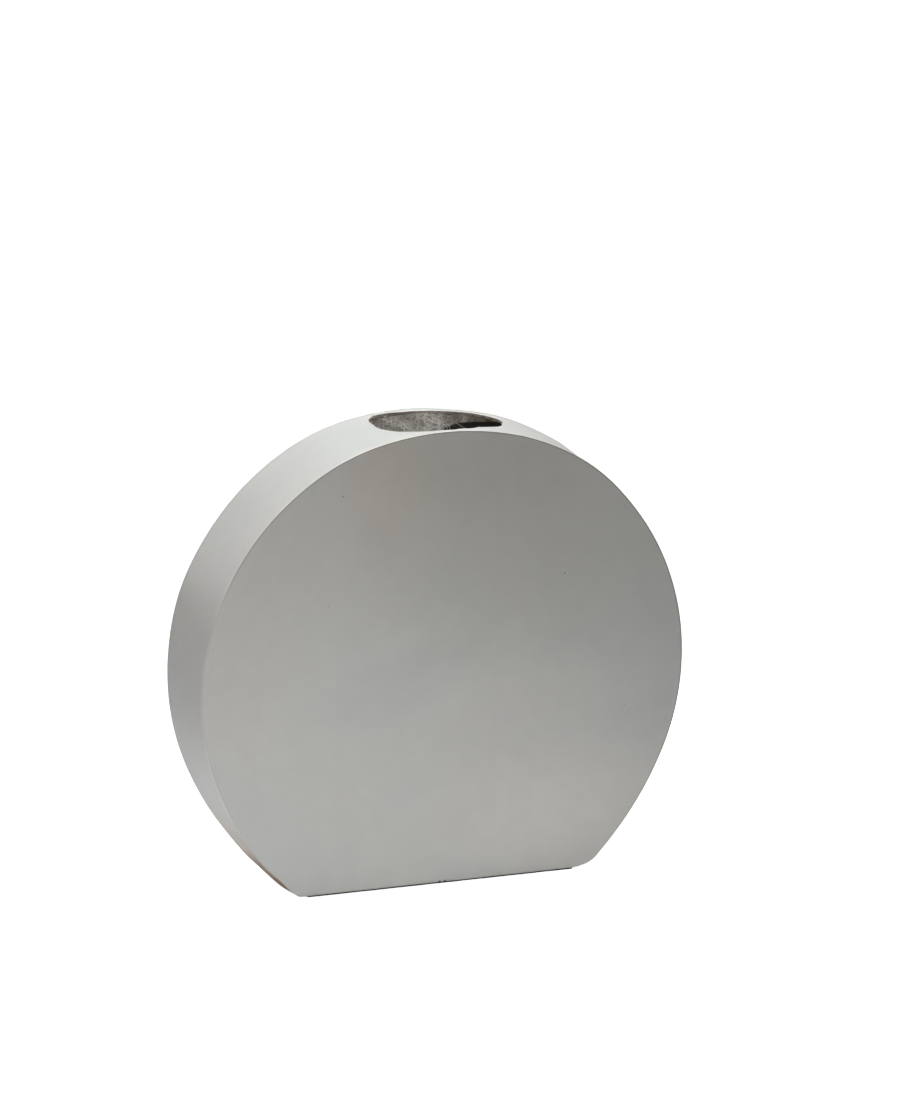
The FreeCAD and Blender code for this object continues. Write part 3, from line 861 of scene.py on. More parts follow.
@dataclass(frozen=True)
class LacquerFinish:
    """Satin lacquer over the moulded laminate."""

    name: str = "satin_lacquer"
    roughness: float = 0.36
    base: Colour = rgb(223, 222, 217)
    warm: Colour = rgb(223, 221, 216)
    cool: Colour = rgb(219, 220, 216)
    # Pale for edge wear, and for the painted highlight on the arris and the mouth's lip.
    wear_highlight_pale: Colour = rgb(249, 248, 245)
    nib_pale: Colour = rgb(240, 240, 238)
    # Painted shade along the face's edge.
    painted_edge_shade: Colour = rgb(136, 124, 110)
    # Painted brownish shade low on the rim: lighter higher up, darker at the foot.
    painted_low_shade: Colour = rgb(228, 208, 188)
    painted_foot_shade: Colour = rgb(170, 132, 106)
    speck: Colour = rgb(70, 66, 60)
    patches_with_painted_light: tuple[FacePatch, ...] = (
        # A warm patch high on the left; a painted reflection, pale and pinkish, low on the right;
        # painted shade, greyer, high on the right.
        FacePatch(-0.06, 0.41, 0.055, 0.075, 0.42, rgb(226, 210, 194)),
        FacePatch(0.12, 0.07, 0.12, 0.065, 0.7, rgb(238, 232, 225)),
        FacePatch(0.06, 0.42, 0.12, 0.06, 0.6, rgb(206, 202, 191)),
        FacePatch(0.07, 0.34, 0.17, 0.13, 0.5, rgb(200, 198, 188)))
    patch_depth: float = 0.004
    face_y: float = -0.0535
    # Across and up of two nicks in the lower arris.
    nicks: tuple[tuple[float, float], ...] = ((-0.0026, 0.0024), (0.0028, 0.0024))

    def lay_patches_and_painted_light(self, start: OpenFinish, broad: NodeSocket, tone: NodeSocket) -> NodeSocket:
        """Lay the faint patches over a colour: painted reflection, painted shade and one warm
        patch.

        Args:
            start: the open material.
            broad: broad clouding, about zero.
            tone: the colour under them.

        Returns:
            The colour with the patches.
        """
        tree = start.tree
        for face_patch in self.patches_with_painted_light:
            gap = tree.vector("SUBTRACT", start.place, (face_patch.across, self.face_y, face_patch.up))
            gap = tree.vector("MULTIPLY", gap,
                              (1 / face_patch.wide, 1 / self.patch_depth, 1 / face_patch.high))
            size = tree.plus(tree.distance("LENGTH", gap), tree.times(broad, 0.9))
            tone = tree.colour(tree.spread(size, 1.35, 0.2, 0.0, face_patch.amount), tone,
                               face_patch.tint)
        return tone

    def shaded_low_rim(self, start: OpenFinish, fine: NodeSocket, tone: NodeSocket) -> NodeSocket:
        """Paint brownish shade low on the rim, most of it on the left, darkest at the foot.

        Args:
            start: the open material.
            fine: fine clouding, about zero.
            tone: the colour under it.

        Returns:
            The colour with the painted shade.
        """
        tree = start.tree
        x, y, z = tree.parts(start.place)
        low = tree.spread(tree.plus(z, tree.times(fine, 0.06)), 0.10, 0.015)
        side = tree.spread(x, -0.05, -0.13)
        behind = tree.spread(y, -0.0533, -0.051)
        low_shade = tree.times(tree.times(low, side), tree.times(behind, 0.95))
        shade_tone = tree.colour(tree.spread(z, 0.040, 0.012), self.painted_low_shade, self.painted_foot_shade)
        return tree.colour(low_shade, tone, shade_tone)

    def build(self, effects: Effects) -> Material:
        """Return the material."""
        start = open_finish(self.name, self.roughness, Coat_Weight=0.12, Coat_Roughness=0.22)
        tree = start.tree
        broad, fine = tree.group(effects.clouding, Scale=5.5, Bend=0.1)
        height, nibs, pits = tree.group(effects.spray, Peel=380.0, Dust=62.0)
        mark = tree.add("ShaderNodeAttribute", attribute_name="mark").outputs["Fac"]
        wear_and_highlight = tree.group(effects.wear_highlight_group, Mark=mark)[0]
        tone = tree.colour(tree.spread(broad, -0.02, 0.16), self.base, self.warm)
        tone = tree.colour(tree.spread(broad, 0.02, -0.16), tone, self.cool)
        tone = self.lay_patches_and_painted_light(start, broad, tone)
        shade = tree.spread(fine, -0.3, 0.3, 0.965, 1.0)
        grey = tree.add("ShaderNodeCombineColor", {0: shade, 1: shade, 2: shade}).outputs[0]
        tone = tree.colour(1.0, tone, grey, "MULTIPLY")
        tone = self.shaded_low_rim(start, fine, tone)
        tone = tree.colour(tree.times(pits, 0.75), tone, self.speck)
        tone = tree.colour(tree.times(nibs, 0.4), tone, self.nib_pale)
        # Pale line: edge wear and painted highlight on the arris and the mouth's lip, wear alone
        # on the rear edges.
        tone = tree.colour(tree.times(wear_and_highlight, 0.85), tone, self.wear_highlight_pale)
        # Painted shade: a dark line along the face's edge, standing for the arris's shaded side,
        # most of it at the top and on the right.
        x, _, z = tree.parts(start.place)
        lean = tree.plus(tree.times(x, 0.55), z)
        edge_shade = tree.times(tree.spread(lean, 0.16, 0.27, 0.25, 1.0),
                            tree.spread(mark, -0.15, -0.7))
        tone = tree.colour(tree.times(edge_shade, 0.6), tone, self.painted_edge_shade)
        nicked: Given = 0.0
        for across, up in self.nicks:
            gap = tree.distance("DISTANCE", start.place, (across, self.face_y, up))
            nicked = tree.sum("MAXIMUM", nicked, tree.spread(gap, 0.0016, 0.0008))
        tone = tree.colour(nicked, tone, self.speck)
        rough = tree.plus(tree.spread(broad, -0.2, 0.2, self.roughness - 0.05,
                                      self.roughness + 0.06), tree.times(fine, 0.08))
        return start.close(tone, height, 0.00005, 0.5, rough)


@dataclass(frozen=True)
class LaminateFinish:
    """Laid-up glass fibre in resin, bare or under a thin coat."""

    name: str
    resin: Colour
    shade: Colour
    strand: Colour
    cover: float
    roughness: float
    relief: float
    # Where along the width putty was smeared over the strands.
    putty_from: float = 1.0
    putty: Colour = rgb(166, 154, 139)
    # Painted shadow, for the dark wedge below the putty.
    painted_shadow: Colour = rgb(44, 41, 37)

    def build(self, effects: Effects) -> Material:
        """Return the material."""
        start = open_finish(self.name, self.roughness)
        tree = start.tree
        broad, fine = tree.group(effects.clouding, Scale=14.0, Bend=0.06)
        strands, lie = tree.group(effects.strands, Across=560.0, Along=42.0, Cover=self.cover)
        tone = tree.colour(tree.spread(broad, -0.2, 0.2), self.resin, self.shade)
        tone = tree.colour(tree.spread(fine, 0.05, 0.3), tone, self.shade)
        tone = tree.colour(strands, tone, self.strand)
        x, _, z = tree.parts(start.place)
        smeared = tree.spread(tree.plus(x, tree.times(broad, 0.05)), self.putty_from - 0.006,
                              self.putty_from + 0.006)
        putty = tree.colour(tree.spread(fine, -0.2, 0.25), self.putty, self.shade)
        tone = tree.colour(smeared, tone, putty)
        # Painted shadow: a dark wedge on the rear wall below the putty, where the crown shades
        # it.
        rise = tree.spread(x, 0.028, 0.050, 0.4335, 0.4385)
        fall = tree.spread(x, 0.060, 0.095, 0.4385, 0.4360)
        edge = tree.sum("MINIMUM", rise, fall)
        below = tree.spread(tree.sum("SUBTRACT", edge, z), -0.0004, 0.0012)
        beside = tree.spread(x, self.putty_from - 0.028, self.putty_from - 0.020)
        tone = tree.colour(tree.times(below, beside), tone, self.painted_shadow)
        return start.close(tone, tree.plus(lie, tree.times(fine, 1.4)), self.relief, 0.7,
                           tree.plus(self.roughness, tree.times(fine, 0.25)))


@dataclass(frozen=True)
class CutEdgeFinish:
    """Sawn edge of the laminate: its layers, with resin between them."""

    name: str = "sawn_laminate_edge"
    roughness: float = 0.62
    layer: Colour = rgb(128, 120, 110)
    resin: Colour = rgb(92, 78, 67)
    strand: Colour = rgb(176, 170, 160)
    layer_height: float = 0.0009

    def build(self, effects: Effects) -> Material:
        """Return the material."""
        start = open_finish(self.name, self.roughness)
        tree = start.tree
        z = tree.parts(start.place)[2]
        broad, fine = tree.group(effects.clouding, Scale=40.0, Bend=0.02)
        strands, lie = tree.group(effects.strands, Across=1500.0, Along=260.0, Cover=0.7)
        lift = tree.plus(z, tree.times(fine, 0.0012))
        bands = tree.sum("SINE", tree.times(lift, math.tau / self.layer_height))
        tone = tree.colour(tree.spread(bands, -0.4, 0.8), self.layer, self.resin)
        tone = tree.colour(strands, tone, self.strand)
        tone = tree.colour(tree.spread(broad, 0.05, 0.3), tone, self.resin)
        return start.close(tone, tree.plus(bands, tree.times(lie, 1.5)), 0.00012, 0.6)


@dataclass(frozen=True)
class TimberFinish:
    """Sawn softwood of the hanger blocks."""

    name: str = "sawn_softwood"
    roughness: float = 0.68
    early: Colour = rgb(214, 184, 140)
    late: Colour = rgb(164, 118, 74)
    middle: Colour = rgb(196, 160, 112)
    pore: Colour = rgb(120, 84, 52)

    def build(self, effects: Effects) -> Material:
        """Return the material."""
        start = open_finish(self.name, self.roughness)
        tree = start.tree
        broad = tree.group(effects.clouding, Scale=30.0, Bend=0.05)[0]
        squeezed = tree.vector("MULTIPLY", start.place, (1.0, 1.0, 0.09))
        rings = tree.add("ShaderNodeTexWave", {"Vector": squeezed, "Scale": 95.0,
                                               "Distortion": 4.5, "Detail": 2.0,
                                               "Detail Scale": 1.4},
                         wave_type="RINGS", rings_direction="Z").outputs["Fac"]
        grain = tree.vector("MULTIPLY", start.place, (1.0, 1.0, 0.04))
        pores = tree.spread(tree.noise(grain, 1900.0, 1.0), 0.6, 0.72)
        tone = tree.colour(tree.spread(rings, 0.35, 0.95), self.early, self.late)
        tone = tree.colour(tree.times(pores, 0.5), tone, self.pore)
        tone = tree.colour(tree.spread(broad, 0.0, 0.25), tone, self.middle)
        tone = tree.colour(tree.spread(tree.noise(squeezed, 60.0), 0.62, 0.75), tone, self.late)
        return start.close(tone, tree.sum("SUBTRACT", rings, tree.times(pores, 1.3)),
                           0.00015, 0.5)


@dataclass(frozen=True)
class MetalFinish:
    """Plated steel, rolled or turned, with handling marks."""

    name: str
    bright: Colour
    dull: Colour
    roughness: float
    stretch: Triple

    def build(self, effects: Effects) -> Material:
        """Return the material."""
        start = open_finish(self.name, self.roughness, Metallic=1.0)
        tree = start.tree
        broad, fine = tree.group(effects.clouding, Scale=70.0, Bend=0.02)
        rolled = tree.noise(tree.vector("MULTIPLY", start.place, self.stretch), 2600.0)
        marks = tree.spread(tree.cells(start.place, 900.0), 0.12, 0.05)
        tone = tree.colour(tree.spread(broad, -0.15, 0.2), self.bright, self.dull)
        tone = tree.colour(tree.times(marks, 0.5), tone, self.dull)
        rough = tree.plus(self.roughness, tree.times(fine, 0.3))
        return start.close(tone, rolled, 0.00002, 0.6,
                           tree.plus(rough, tree.times(rolled, 0.08)))


@dataclass(frozen=True)
class RubberFinish:
    """Closed-cell pad or bumper, matt, with dust on it."""

    name: str
    body: Colour
    dust: Colour
    cells: float
    roughness: float = 0.78

    def build(self, effects: Effects) -> Material:
        """Return the material."""
        start = open_finish(self.name, self.roughness)
        tree = start.tree
        broad, fine = tree.group(effects.clouding, Scale=55.0, Bend=0.03)
        height, nibs, _ = tree.group(effects.spray, Peel=self.cells, Dust=260.0)
        tone = tree.colour(tree.spread(fine, -0.05, 0.3), self.body, self.dust)
        tone = tree.colour(tree.times(nibs, 0.7), tone, self.dust)
        return start.close(tone, height, 0.00016, 0.7,
                           tree.plus(self.roughness, tree.times(broad, 0.2)))


class Finishes:
    """All finishes of the vase, built once."""

    def __init__(self) -> None:
        """Build the groups and the materials."""
        effects = Effects()
        self.lacquer = LacquerFinish().build(effects)
        self.cut_edge = CutEdgeFinish().build(effects)
        self.inside = LaminateFinish(
            "bare_laminate", rgb(178, 172, 162), rgb(150, 138, 122), rgb(214, 212, 206),
            cover=0.75, roughness=0.5, relief=0.00045).build(effects)
        self.tape = LaminateFinish(
            "bonding_laminate", rgb(152, 146, 137), rgb(98, 91, 81), rgb(206, 203, 196),
            cover=0.95, roughness=0.45, relief=0.0006, putty_from=0.056).build(effects)
        self.back = LaminateFinish(
            "coated_back_laminate", rgb(190, 190, 184), rgb(174, 172, 165), rgb(202, 202, 198),
            cover=0.45, roughness=0.52, relief=0.00016).build(effects)
        self.bead = LaminateFinish(
            "seam_resin", rgb(186, 182, 170), rgb(160, 152, 136), rgb(196, 194, 186),
            cover=0.2, roughness=0.42, relief=0.0001).build(effects)
        self.strand = LaminateFinish(
            "glass_strand", rgb(220, 218, 212), rgb(128, 122, 112), rgb(240, 240, 237),
            cover=0.4, roughness=0.36, relief=0.00005).build(effects)
        self.timber = TimberFinish().build(effects)
        self.plated = MetalFinish("zinc_plated_plate", rgb(196, 198, 200), rgb(150, 152, 154),
                                  0.34, (1.0, 1.0, 0.03)).build(effects)
        self.screw = MetalFinish("passivated_screw", rgb(206, 196, 160), rgb(150, 142, 118),
                                 0.36, (1.0, 0.2, 1.0)).build(effects)
        self.foot_rubber = RubberFinish("foot_pad_rubber", rgb(46, 44, 42), rgb(96, 92, 86),
                                        1500.0).build(effects)
        self.bumper_rubber = RubberFinish("bumper_elastomer", rgb(70, 70, 72),
                                          rgb(108, 107, 104), 900.0, 0.6).build(effects)


# Geometry nodes.
class Maker:
    """A geometry node tree with named inputs, run on one object."""

    def __init__(self, name: str) -> None:
        """Open the tree with its geometry sockets.

        Args:
            name: the tree's name.
        """
        group = bpy.data.node_groups.new(name, "GeometryNodeTree")
        for way in ("INPUT", "OUTPUT"):
            group.interface.new_socket("Geometry", in_out=way, socket_type="NodeSocketGeometry")
        self.tree = Tree(group)
        self.entry = self.tree.add("NodeGroupInput")
        self.leave = self.tree.add("NodeGroupOutput")
        self.values: dict[str, object] = {}

    def size(self, label: str, amount: object, kind: str = "NodeSocketFloat") -> NodeSocket:
        """Add a named input.

        Args:
            label: its name.
            amount: its value for this run.
            kind: the socket's type.

        Returns:
            The socket inside the tree.
        """
        socket = self.tree.nodes.interface.new_socket(label, in_out="INPUT", socket_type=kind)
        self.values[socket.identifier] = amount
        return self.entry.outputs[label]

    def random(self, low: Given, high: Given, seed: Given) -> NodeSocket:
        """Give a random number for each copy, between two numbers."""
        node = self.tree.add("FunctionNodeRandomValue", {2: low, 3: high, "Seed": seed},
                             data_type="FLOAT")
        return node.outputs[1]

    def swept(self, path: NodeSocket, radius: NodeSocket, sides: int,
              **settings: Given) -> NodeSocket:
        """Sweep a circle along a path.

        Args:
            path: the path's curve.
            radius: the circle's radius.
            sides: corners of the circle.
            settings: other inputs of the sweep, with underscores for spaces.

        Returns:
            The swept mesh.
        """
        profile = self.tree.add("GeometryNodeCurvePrimitiveCircle",
                                {"Resolution": sides, "Radius": radius})
        inputs = {label.replace("_", " "): given for label, given in settings.items()}
        return self.tree.add("GeometryNodeCurveToMesh",
                             {"Curve": path, "Profile Curve": profile.outputs[0],
                              **inputs}).outputs[0]

    def run(self, geometry: NodeSocket, finish: Material, piece: Object,
            smooth_angle: float = 40.0) -> Object:
        """End the tree, run it on an object and keep the result as its plain mesh.

        Args:
            geometry: what the tree has made.
            finish: its material.
            piece: the object with the starting geometry.
            smooth_angle: edges sharper than this stay sharp, in degrees.

        Returns:
            The same object.
        """
        material = self.size("Finish", finish, "NodeSocketMaterial")
        real = self.tree.add("GeometryNodeRealizeInstances", {0: geometry})
        dressed = self.tree.add("GeometryNodeSetMaterial", {"Geometry": real.outputs[0],
                                                            "Material": material})
        self.tree.feed(self.leave.inputs[0], dressed.outputs[0])
        modifier = piece.modifiers.new("making", "NODES")
        modifier.node_group = self.tree.nodes
        for key, amount in self.values.items():
            modifier[key] = amount
        return plain_mesh(piece, smooth_angle)


def point_cloud(name: str, places: Sequence[Triple]) -> Object:
    """Make an object of loose points for a tree to work on."""
    mesh = bpy.data.meshes.new(name)
    mesh.from_pydata(list(places), [], [])
    return link(name, mesh)


def placed_copies(name: str, template: Object, places: Sequence[Triple], turns: float,
                  material: Material) -> Object:
    """Place copies of a template at points, each turned about the depth axis.

    Args:
        name: the piece's name.
        template: the mesh to repeat, removed afterwards.
        places: where the copies go.
        turns: largest turn, in radians.
        material: their finish.

    Returns:
        The plain mesh of all copies.
    """
    maker = Maker(name + "_placing")
    source = maker.size("Template", template, "NodeSocketObject")
    most = maker.size("Largest turn", turns)
    seed = maker.size("Seed", 7, "NodeSocketInt")
    tree = maker.tree
    one = tree.add("GeometryNodeObjectInfo", {"Object": source})
    turn = maker.random(tree.times(most, -1.0), most, seed)
    angles = tree.add("ShaderNodeCombineXYZ", {1: turn})
    points = tree.add("GeometryNodeMeshToPoints", {0: maker.entry.outputs[0]})
    copies = tree.add("GeometryNodeInstanceOnPoints",
                      {"Points": points.outputs[0], "Instance": one.outputs["Geometry"],
                       "Rotation": angles.outputs[0]})
    piece = maker.run(copies.outputs[0], material, point_cloud(name, places))
    bpy.data.objects.remove(template)
    return piece


# Sub-assemblies.
@dataclass
class MouldedShell:
    """Front shell: face, rim band, foot and the lips of the mouth."""

    finishes: Finishes
    wall: float = 3 * MM
    arris: float = 0.5 * MM
    rear_bevel: float = 0.8 * MM
    slope: float = 5 * MM
    columns: int = 640
    stations: int = 22
    face_rings: int = 26
    inner_rings: int = 12
    patch_rings: int = 6
    arris_steps: int = 4
    dense_columns: int = 8000
    # Heights above the disc's middle where the crown and the mouth's patch are looked for.
    crown_from: float = 120 * MM
    patch_from: float = 100 * MM
    # The face's rings gather round a point below the disc's middle.
    gather_drop: float = 10 * MM
    gathering: float = 0.9
    face_dimple: float = 0.1 * MM
    patch_left: float = -92 * MM
    patch_right: float = 118 * MM
    # Marks that the lacquer reads: painted edge shade below 0, edge wear and painted highlight
    # above.
    edge_shade_mark: float = -0.7
    thin_edge_shade_mark: float = -0.5
    # The arris's and the mouth lip's marks paint wear with a highlight; the rear edges' marks
    # paint wear.
    arris_wear_highlight: float = 1.0
    arris_end_wear_highlight: float = 0.35
    edge_worn: float = 0.8
    back_worn: float = 0.6
    inside_worn: float = 0.1
    mouth_wear_highlight: float = 0.9
    # Insets on the face to which the painted edge shade thins out and ends.
    edge_shade_inset: float = 1.3 * MM
    unshaded_inset: float = 2.2 * MM
    # Numbers of the piece's materials.
    lacquer, cut_edge, inside = range(3)

    def __post_init__(self) -> None:
        """Open the sketch and work out the outline's places."""
        self.sketch = MeshSketch()
        self.mouth = MouthOutline()
        self.rim = DiscOutline().places(self.columns)
        dense = DiscOutline().places(self.dense_columns)
        self.crown = dense[dense[:, 1] > self.crown_from][::-1]
        top = np.where(self.rim[:, 1] > self.patch_from)[0]
        across = self.rim[top, 0]
        self.first = int(top[np.argmin(np.abs(across - self.patch_right))])
        self.last = int(top[np.argmin(np.abs(across - self.patch_left))])

    def ring(self, inset: np.ndarray | float, depth: float) -> np.ndarray:
        """Give one ring of points at an inset from the outline and a depth."""
        return inset_ring(self.rim, inset, depth)

    def crown_height(self, across: np.ndarray, insets: np.ndarray) -> np.ndarray:
        """Give the height of the crown, moved inwards, over places along the width.

        Args:
            across: places along the width.
            insets: how far inwards, one for each place.

        Returns:
            Heights.
        """
        top = self.crown
        heights = [np.interp(x, top[:, 0] - inset * top[:, 2], top[:, 1] - inset * top[:, 3])
                   for x, inset in zip(across, insets)]
        return np.array(heights) + CENTRE_Z

    def slope_inset(self, depth: np.ndarray | float) -> np.ndarray:
        """Give the inside's inset at a depth, with the round of resin by the face."""
        away = np.clip((depth - (FACE_Y + self.wall)) / self.slope, 0, 1)
        return self.wall + self.slope * (1 - np.sqrt(1 - (1 - away) ** 2))

    def face_height(self, points: np.ndarray) -> np.ndarray:
        """Give the face its slight unevenness, never forward of the drawn plane.

        Args:
            points: one row a point.

        Returns:
            Metres backwards, one for each point.
        """
        x, z = points[:, 0], points[:, 2]
        wave = (ripple(x + 0.4 * z, [(5.1, 0.035, 0.4), (9.7, 0.016, 2.0)])
                + ripple(z - 0.3 * x, [(4.3, 0.03, 1.1), (11.9, 0.013, 0.2)]))
        size = np.hypot(x, z - CENTRE_Z) / DiscOutline.radius
        return (wave + 0.1) * MM * np.clip((1.0 - size) / 0.12, 0, 1)

    def face(self, rim: np.ndarray, rows: np.ndarray, rings: int, outer: bool) -> None:
        """Fill a ring down to the disc's centre.

        Args:
            rim: numbers of the ring's points.
            rows: their places.
            rings: how many rings to the centre.
            outer: whether it is the lacquered, slightly uneven side.
        """
        centre = np.array([0.0, rows[0, 1], CENTRE_Z - self.gather_drop])
        finish = self.lacquer if outer else self.inside

        def shrunk(k: int) -> np.ndarray:
            """Return the ring that is k steps from the centre."""
            points = centre + (k / rings) ** self.gathering * (rows - centre)
            if outer:
                points[:, 1] += self.face_height(points)
            return points

        last = self.sketch.chain(rim, (shrunk(k) for k in range(rings - 1, 0, -1)), finish, outer)
        self.sketch.fan(last, centre + [0, self.face_dimple if outer else 0, 0], finish, outer)

    def band(self, numbers: list[np.ndarray], outer: bool) -> np.ndarray:
        """Join the rings of a band, leaving the patch round the mouth open.

        Args:
            numbers: the rings' numbers, from the face to the rear.
            outer: whether it is the lacquered side.

        Returns:
            Numbers of the patch's border.
        """
        a, b = self.first, self.last
        order = np.r_[np.arange(b, self.columns), np.arange(0, a + 1)]
        for one, two in zip(numbers, numbers[1:]):
            self.sketch.strip(one[order], two[order], self.lacquer if outer else self.inside,
                              closed=False, flip=not outer)
        between = numbers[1:-1]
        return np.concatenate([numbers[0][a:b + 1], [row[b] for row in between],
                               numbers[-1][a:b + 1][::-1],
                               [row[a] for row in between][::-1]]).astype(int)

    def outside(self) -> tuple[np.ndarray, np.ndarray]:
        """Build the face, its arris and the band.

        Returns:
            Numbers of the band's last ring and of the patch's border.
        """
        turns = np.linspace(0, QUARTER, self.arris_steps + 1)
        arris = [self.ring(self.arris * (1 - math.sin(turn)),
                           FACE_Y + self.arris * (1 - math.cos(turn))) for turn in turns]
        face_rim = self.sketch.add(arris[0], self.edge_shade_mark)
        near = self.sketch.chain(face_rim, [self.ring(self.edge_shade_inset, FACE_Y)], flip=True,
                                 mark=self.thin_edge_shade_mark)
        inner_rows = self.ring(self.unshaded_inset, FACE_Y)
        near = self.sketch.chain(near, [inner_rows], flip=True)
        self.face(near, inner_rows, self.face_rings, True)
        before = self.sketch.chain(face_rim, arris[1:-1], mark=self.arris_wear_highlight)
        outer = [self.sketch.chain(before, arris[-1:], mark=self.arris_end_wear_highlight)]
        along = np.arange(self.columns) / self.columns
        depths = np.linspace(FACE_Y + self.arris, REAR_Y - self.rear_bevel, self.stations)
        for depth in depths[1:]:
            across = (depth - FACE_Y) / (REAR_Y - FACE_Y)
            sway = 0.05 * MM * (1 + ripple(along, [(9, 0.5, across * 3), (17, 0.3, 1.7),
                                                   (31, 0.2, across * 5)]))
            outer.append(self.sketch.add(self.ring(sway * (4 * across * (1 - across)), depth)))
        return outer[-1], self.band(outer, True)

    def build(self) -> Object:
        """Return the shell as one closed mesh."""
        last, border = self.outside()
        bevel = self.rear_bevel
        edge = self.sketch.add(self.ring(bevel * 0.3, REAR_Y - bevel * 0.3), self.edge_worn)
        back = self.sketch.add(self.ring(bevel, REAR_Y), self.back_worn)
        inner_edge = self.sketch.add(self.ring(self.wall, REAR_Y), self.inside_worn)
        self.sketch.strip(last, edge)
        self.sketch.strip(edge, back)
        self.sketch.strip(back, inner_edge, self.cut_edge)
        floor = FACE_Y + self.wall
        shares = 1 - np.cos(np.linspace(0, QUARTER, 6))
        depths = np.r_[floor + self.slope * shares,
                       np.linspace(floor + self.slope, REAR_Y, 12)[1:-1]]
        inner = [self.sketch.add(self.ring(self.slope_inset(depth), depth))
                 for depth in depths] + [inner_edge]
        inner_border = self.band(inner, False)
        self.face(inner[0], self.ring(self.wall + self.slope, floor), self.inner_rings, False)
        self.cut_mouth(border, inner_border)
        finishes = [self.finishes.lacquer, self.finishes.cut_edge, self.finishes.inside]
        return self.sketch.finish("front_shell_moulding", finishes, HandShape().move)

    def cut_line(self, border: np.ndarray, grow: np.ndarray | float) -> np.ndarray:
        """Give the mouth's outline, matched to the patch's border.

        Args:
            border: places of the border's points, across and depth.
            grow: how much larger the mouth is, one number or one for each point.

        Returns:
            Across and depth of each point.
        """
        rows = self.mouth.towards(self.mouth.turns(border))
        return rows[:, :2] + rows[:, 2:] * (grow + np.zeros(len(rows)))[:, None]

    def patch(self, border: np.ndarray, line: np.ndarray, outer: bool) -> np.ndarray:
        """Fill between the patch's border and the mouth.

        Args:
            border: numbers of the border's points.
            line: across and depth of the mouth's points.
            outer: whether it is the lacquered side.

        Returns:
            Numbers of the mouth's points.
        """
        places = np.vstack(self.sketch.points)[border][:, :2]

        def between(share: float) -> np.ndarray:
            """Return the loop at a share of the way to the mouth."""
            plan = places + (line - places) * share
            insets = np.zeros(len(plan)) if outer else self.slope_inset(plan[:, 1])
            return np.column_stack([plan, self.crown_height(plan[:, 0], insets)])

        steps = range(1, self.patch_rings + 1)
        return self.sketch.chain(border, (between(k / self.patch_rings) for k in steps),
                                 self.lacquer if outer else self.inside, not outer)

    def cut_mouth(self, border: np.ndarray, inner: np.ndarray) -> None:
        """Close the shell at the mouth: two patches and the sawn wall between them.

        Args:
            border: numbers of the outer patch's border.
            inner: numbers of the inner patch's border.
        """
        points = np.vstack(self.sketch.points)
        outer_plan = points[border][:, :2]
        along = np.arange(len(border)) / len(border)
        zero = np.zeros(len(border))
        saw = 0.16 * MM * ripple(along, [(23, 0.5, 0.3), (41, 0.35, 2.1), (67, 0.3, 4.0)])
        soft = 0.12 * MM * ripple(along, [(11, 0.6, 1.0), (29, 0.4, 0.2)])
        before = self.patch(border, self.cut_line(outer_plan, 0.7 * MM + soft), True)
        # The lacquer's edge at the mouth, painted pale as wear and highlight: millimetres
        # outwards and down.
        for grow, drop in ((0.28, 0.12), (0.08, 0.34), (0.0, 0.7)):
            plan = self.cut_line(outer_plan, grow * MM + saw * (1 - grow))
            top = self.crown_height(plan[:, 0], zero) - drop * MM
            before = self.sketch.chain(before, [np.column_stack([plan, top])],
                                       mark=self.mouth_wear_highlight)
        line = self.cut_line(outer_plan, 0.35 * MM + saw)
        low = self.crown_height(line[:, 0], self.slope_inset(line[:, 1]))
        for share in (0.3, 0.62, 0.94):
            rough = saw * (1 - share) + 0.1 * MM * ripple(along, [(53, 0.6, share * 9)])
            plan = self.cut_line(outer_plan, rough)
            wall = np.column_stack([plan, top + (low - top) * share])
            before = self.sketch.chain(before, [wall], self.cut_edge)
        inner_line = self.cut_line(points[inner][:, :2], 0.35 * MM)
        self.join(before, self.patch(inner, inner_line, False))

    def join(self, first: np.ndarray, second: np.ndarray) -> None:
        """Join two loops with different counts by triangles, matched by direction.

        Args:
            first: numbers of the wall's last loop.
            second: numbers of the inner patch's loop.
        """
        points = np.vstack(self.sketch.points)
        one, two = (np.unwrap(self.mouth.turns(points[loop])) for loop in (first, second))
        two += math.tau * round((one[0] - two[0]) / math.tau)
        one, two = np.r_[one, one[0] - math.tau], np.r_[two, two[0] - math.tau]
        i = j = 0
        while i < len(first) or j < len(second):
            a, b = int(first[i % len(first)]), int(second[j % len(second)])
            if j >= len(second) or (i < len(first) and one[i + 1] > two[j + 1]):
                i += 1
                self.sketch.face((a, int(first[i % len(first)]), b), self.cut_edge)
            else:
                j += 1
                self.sketch.face((a, int(second[j % len(second)]), b), self.cut_edge)


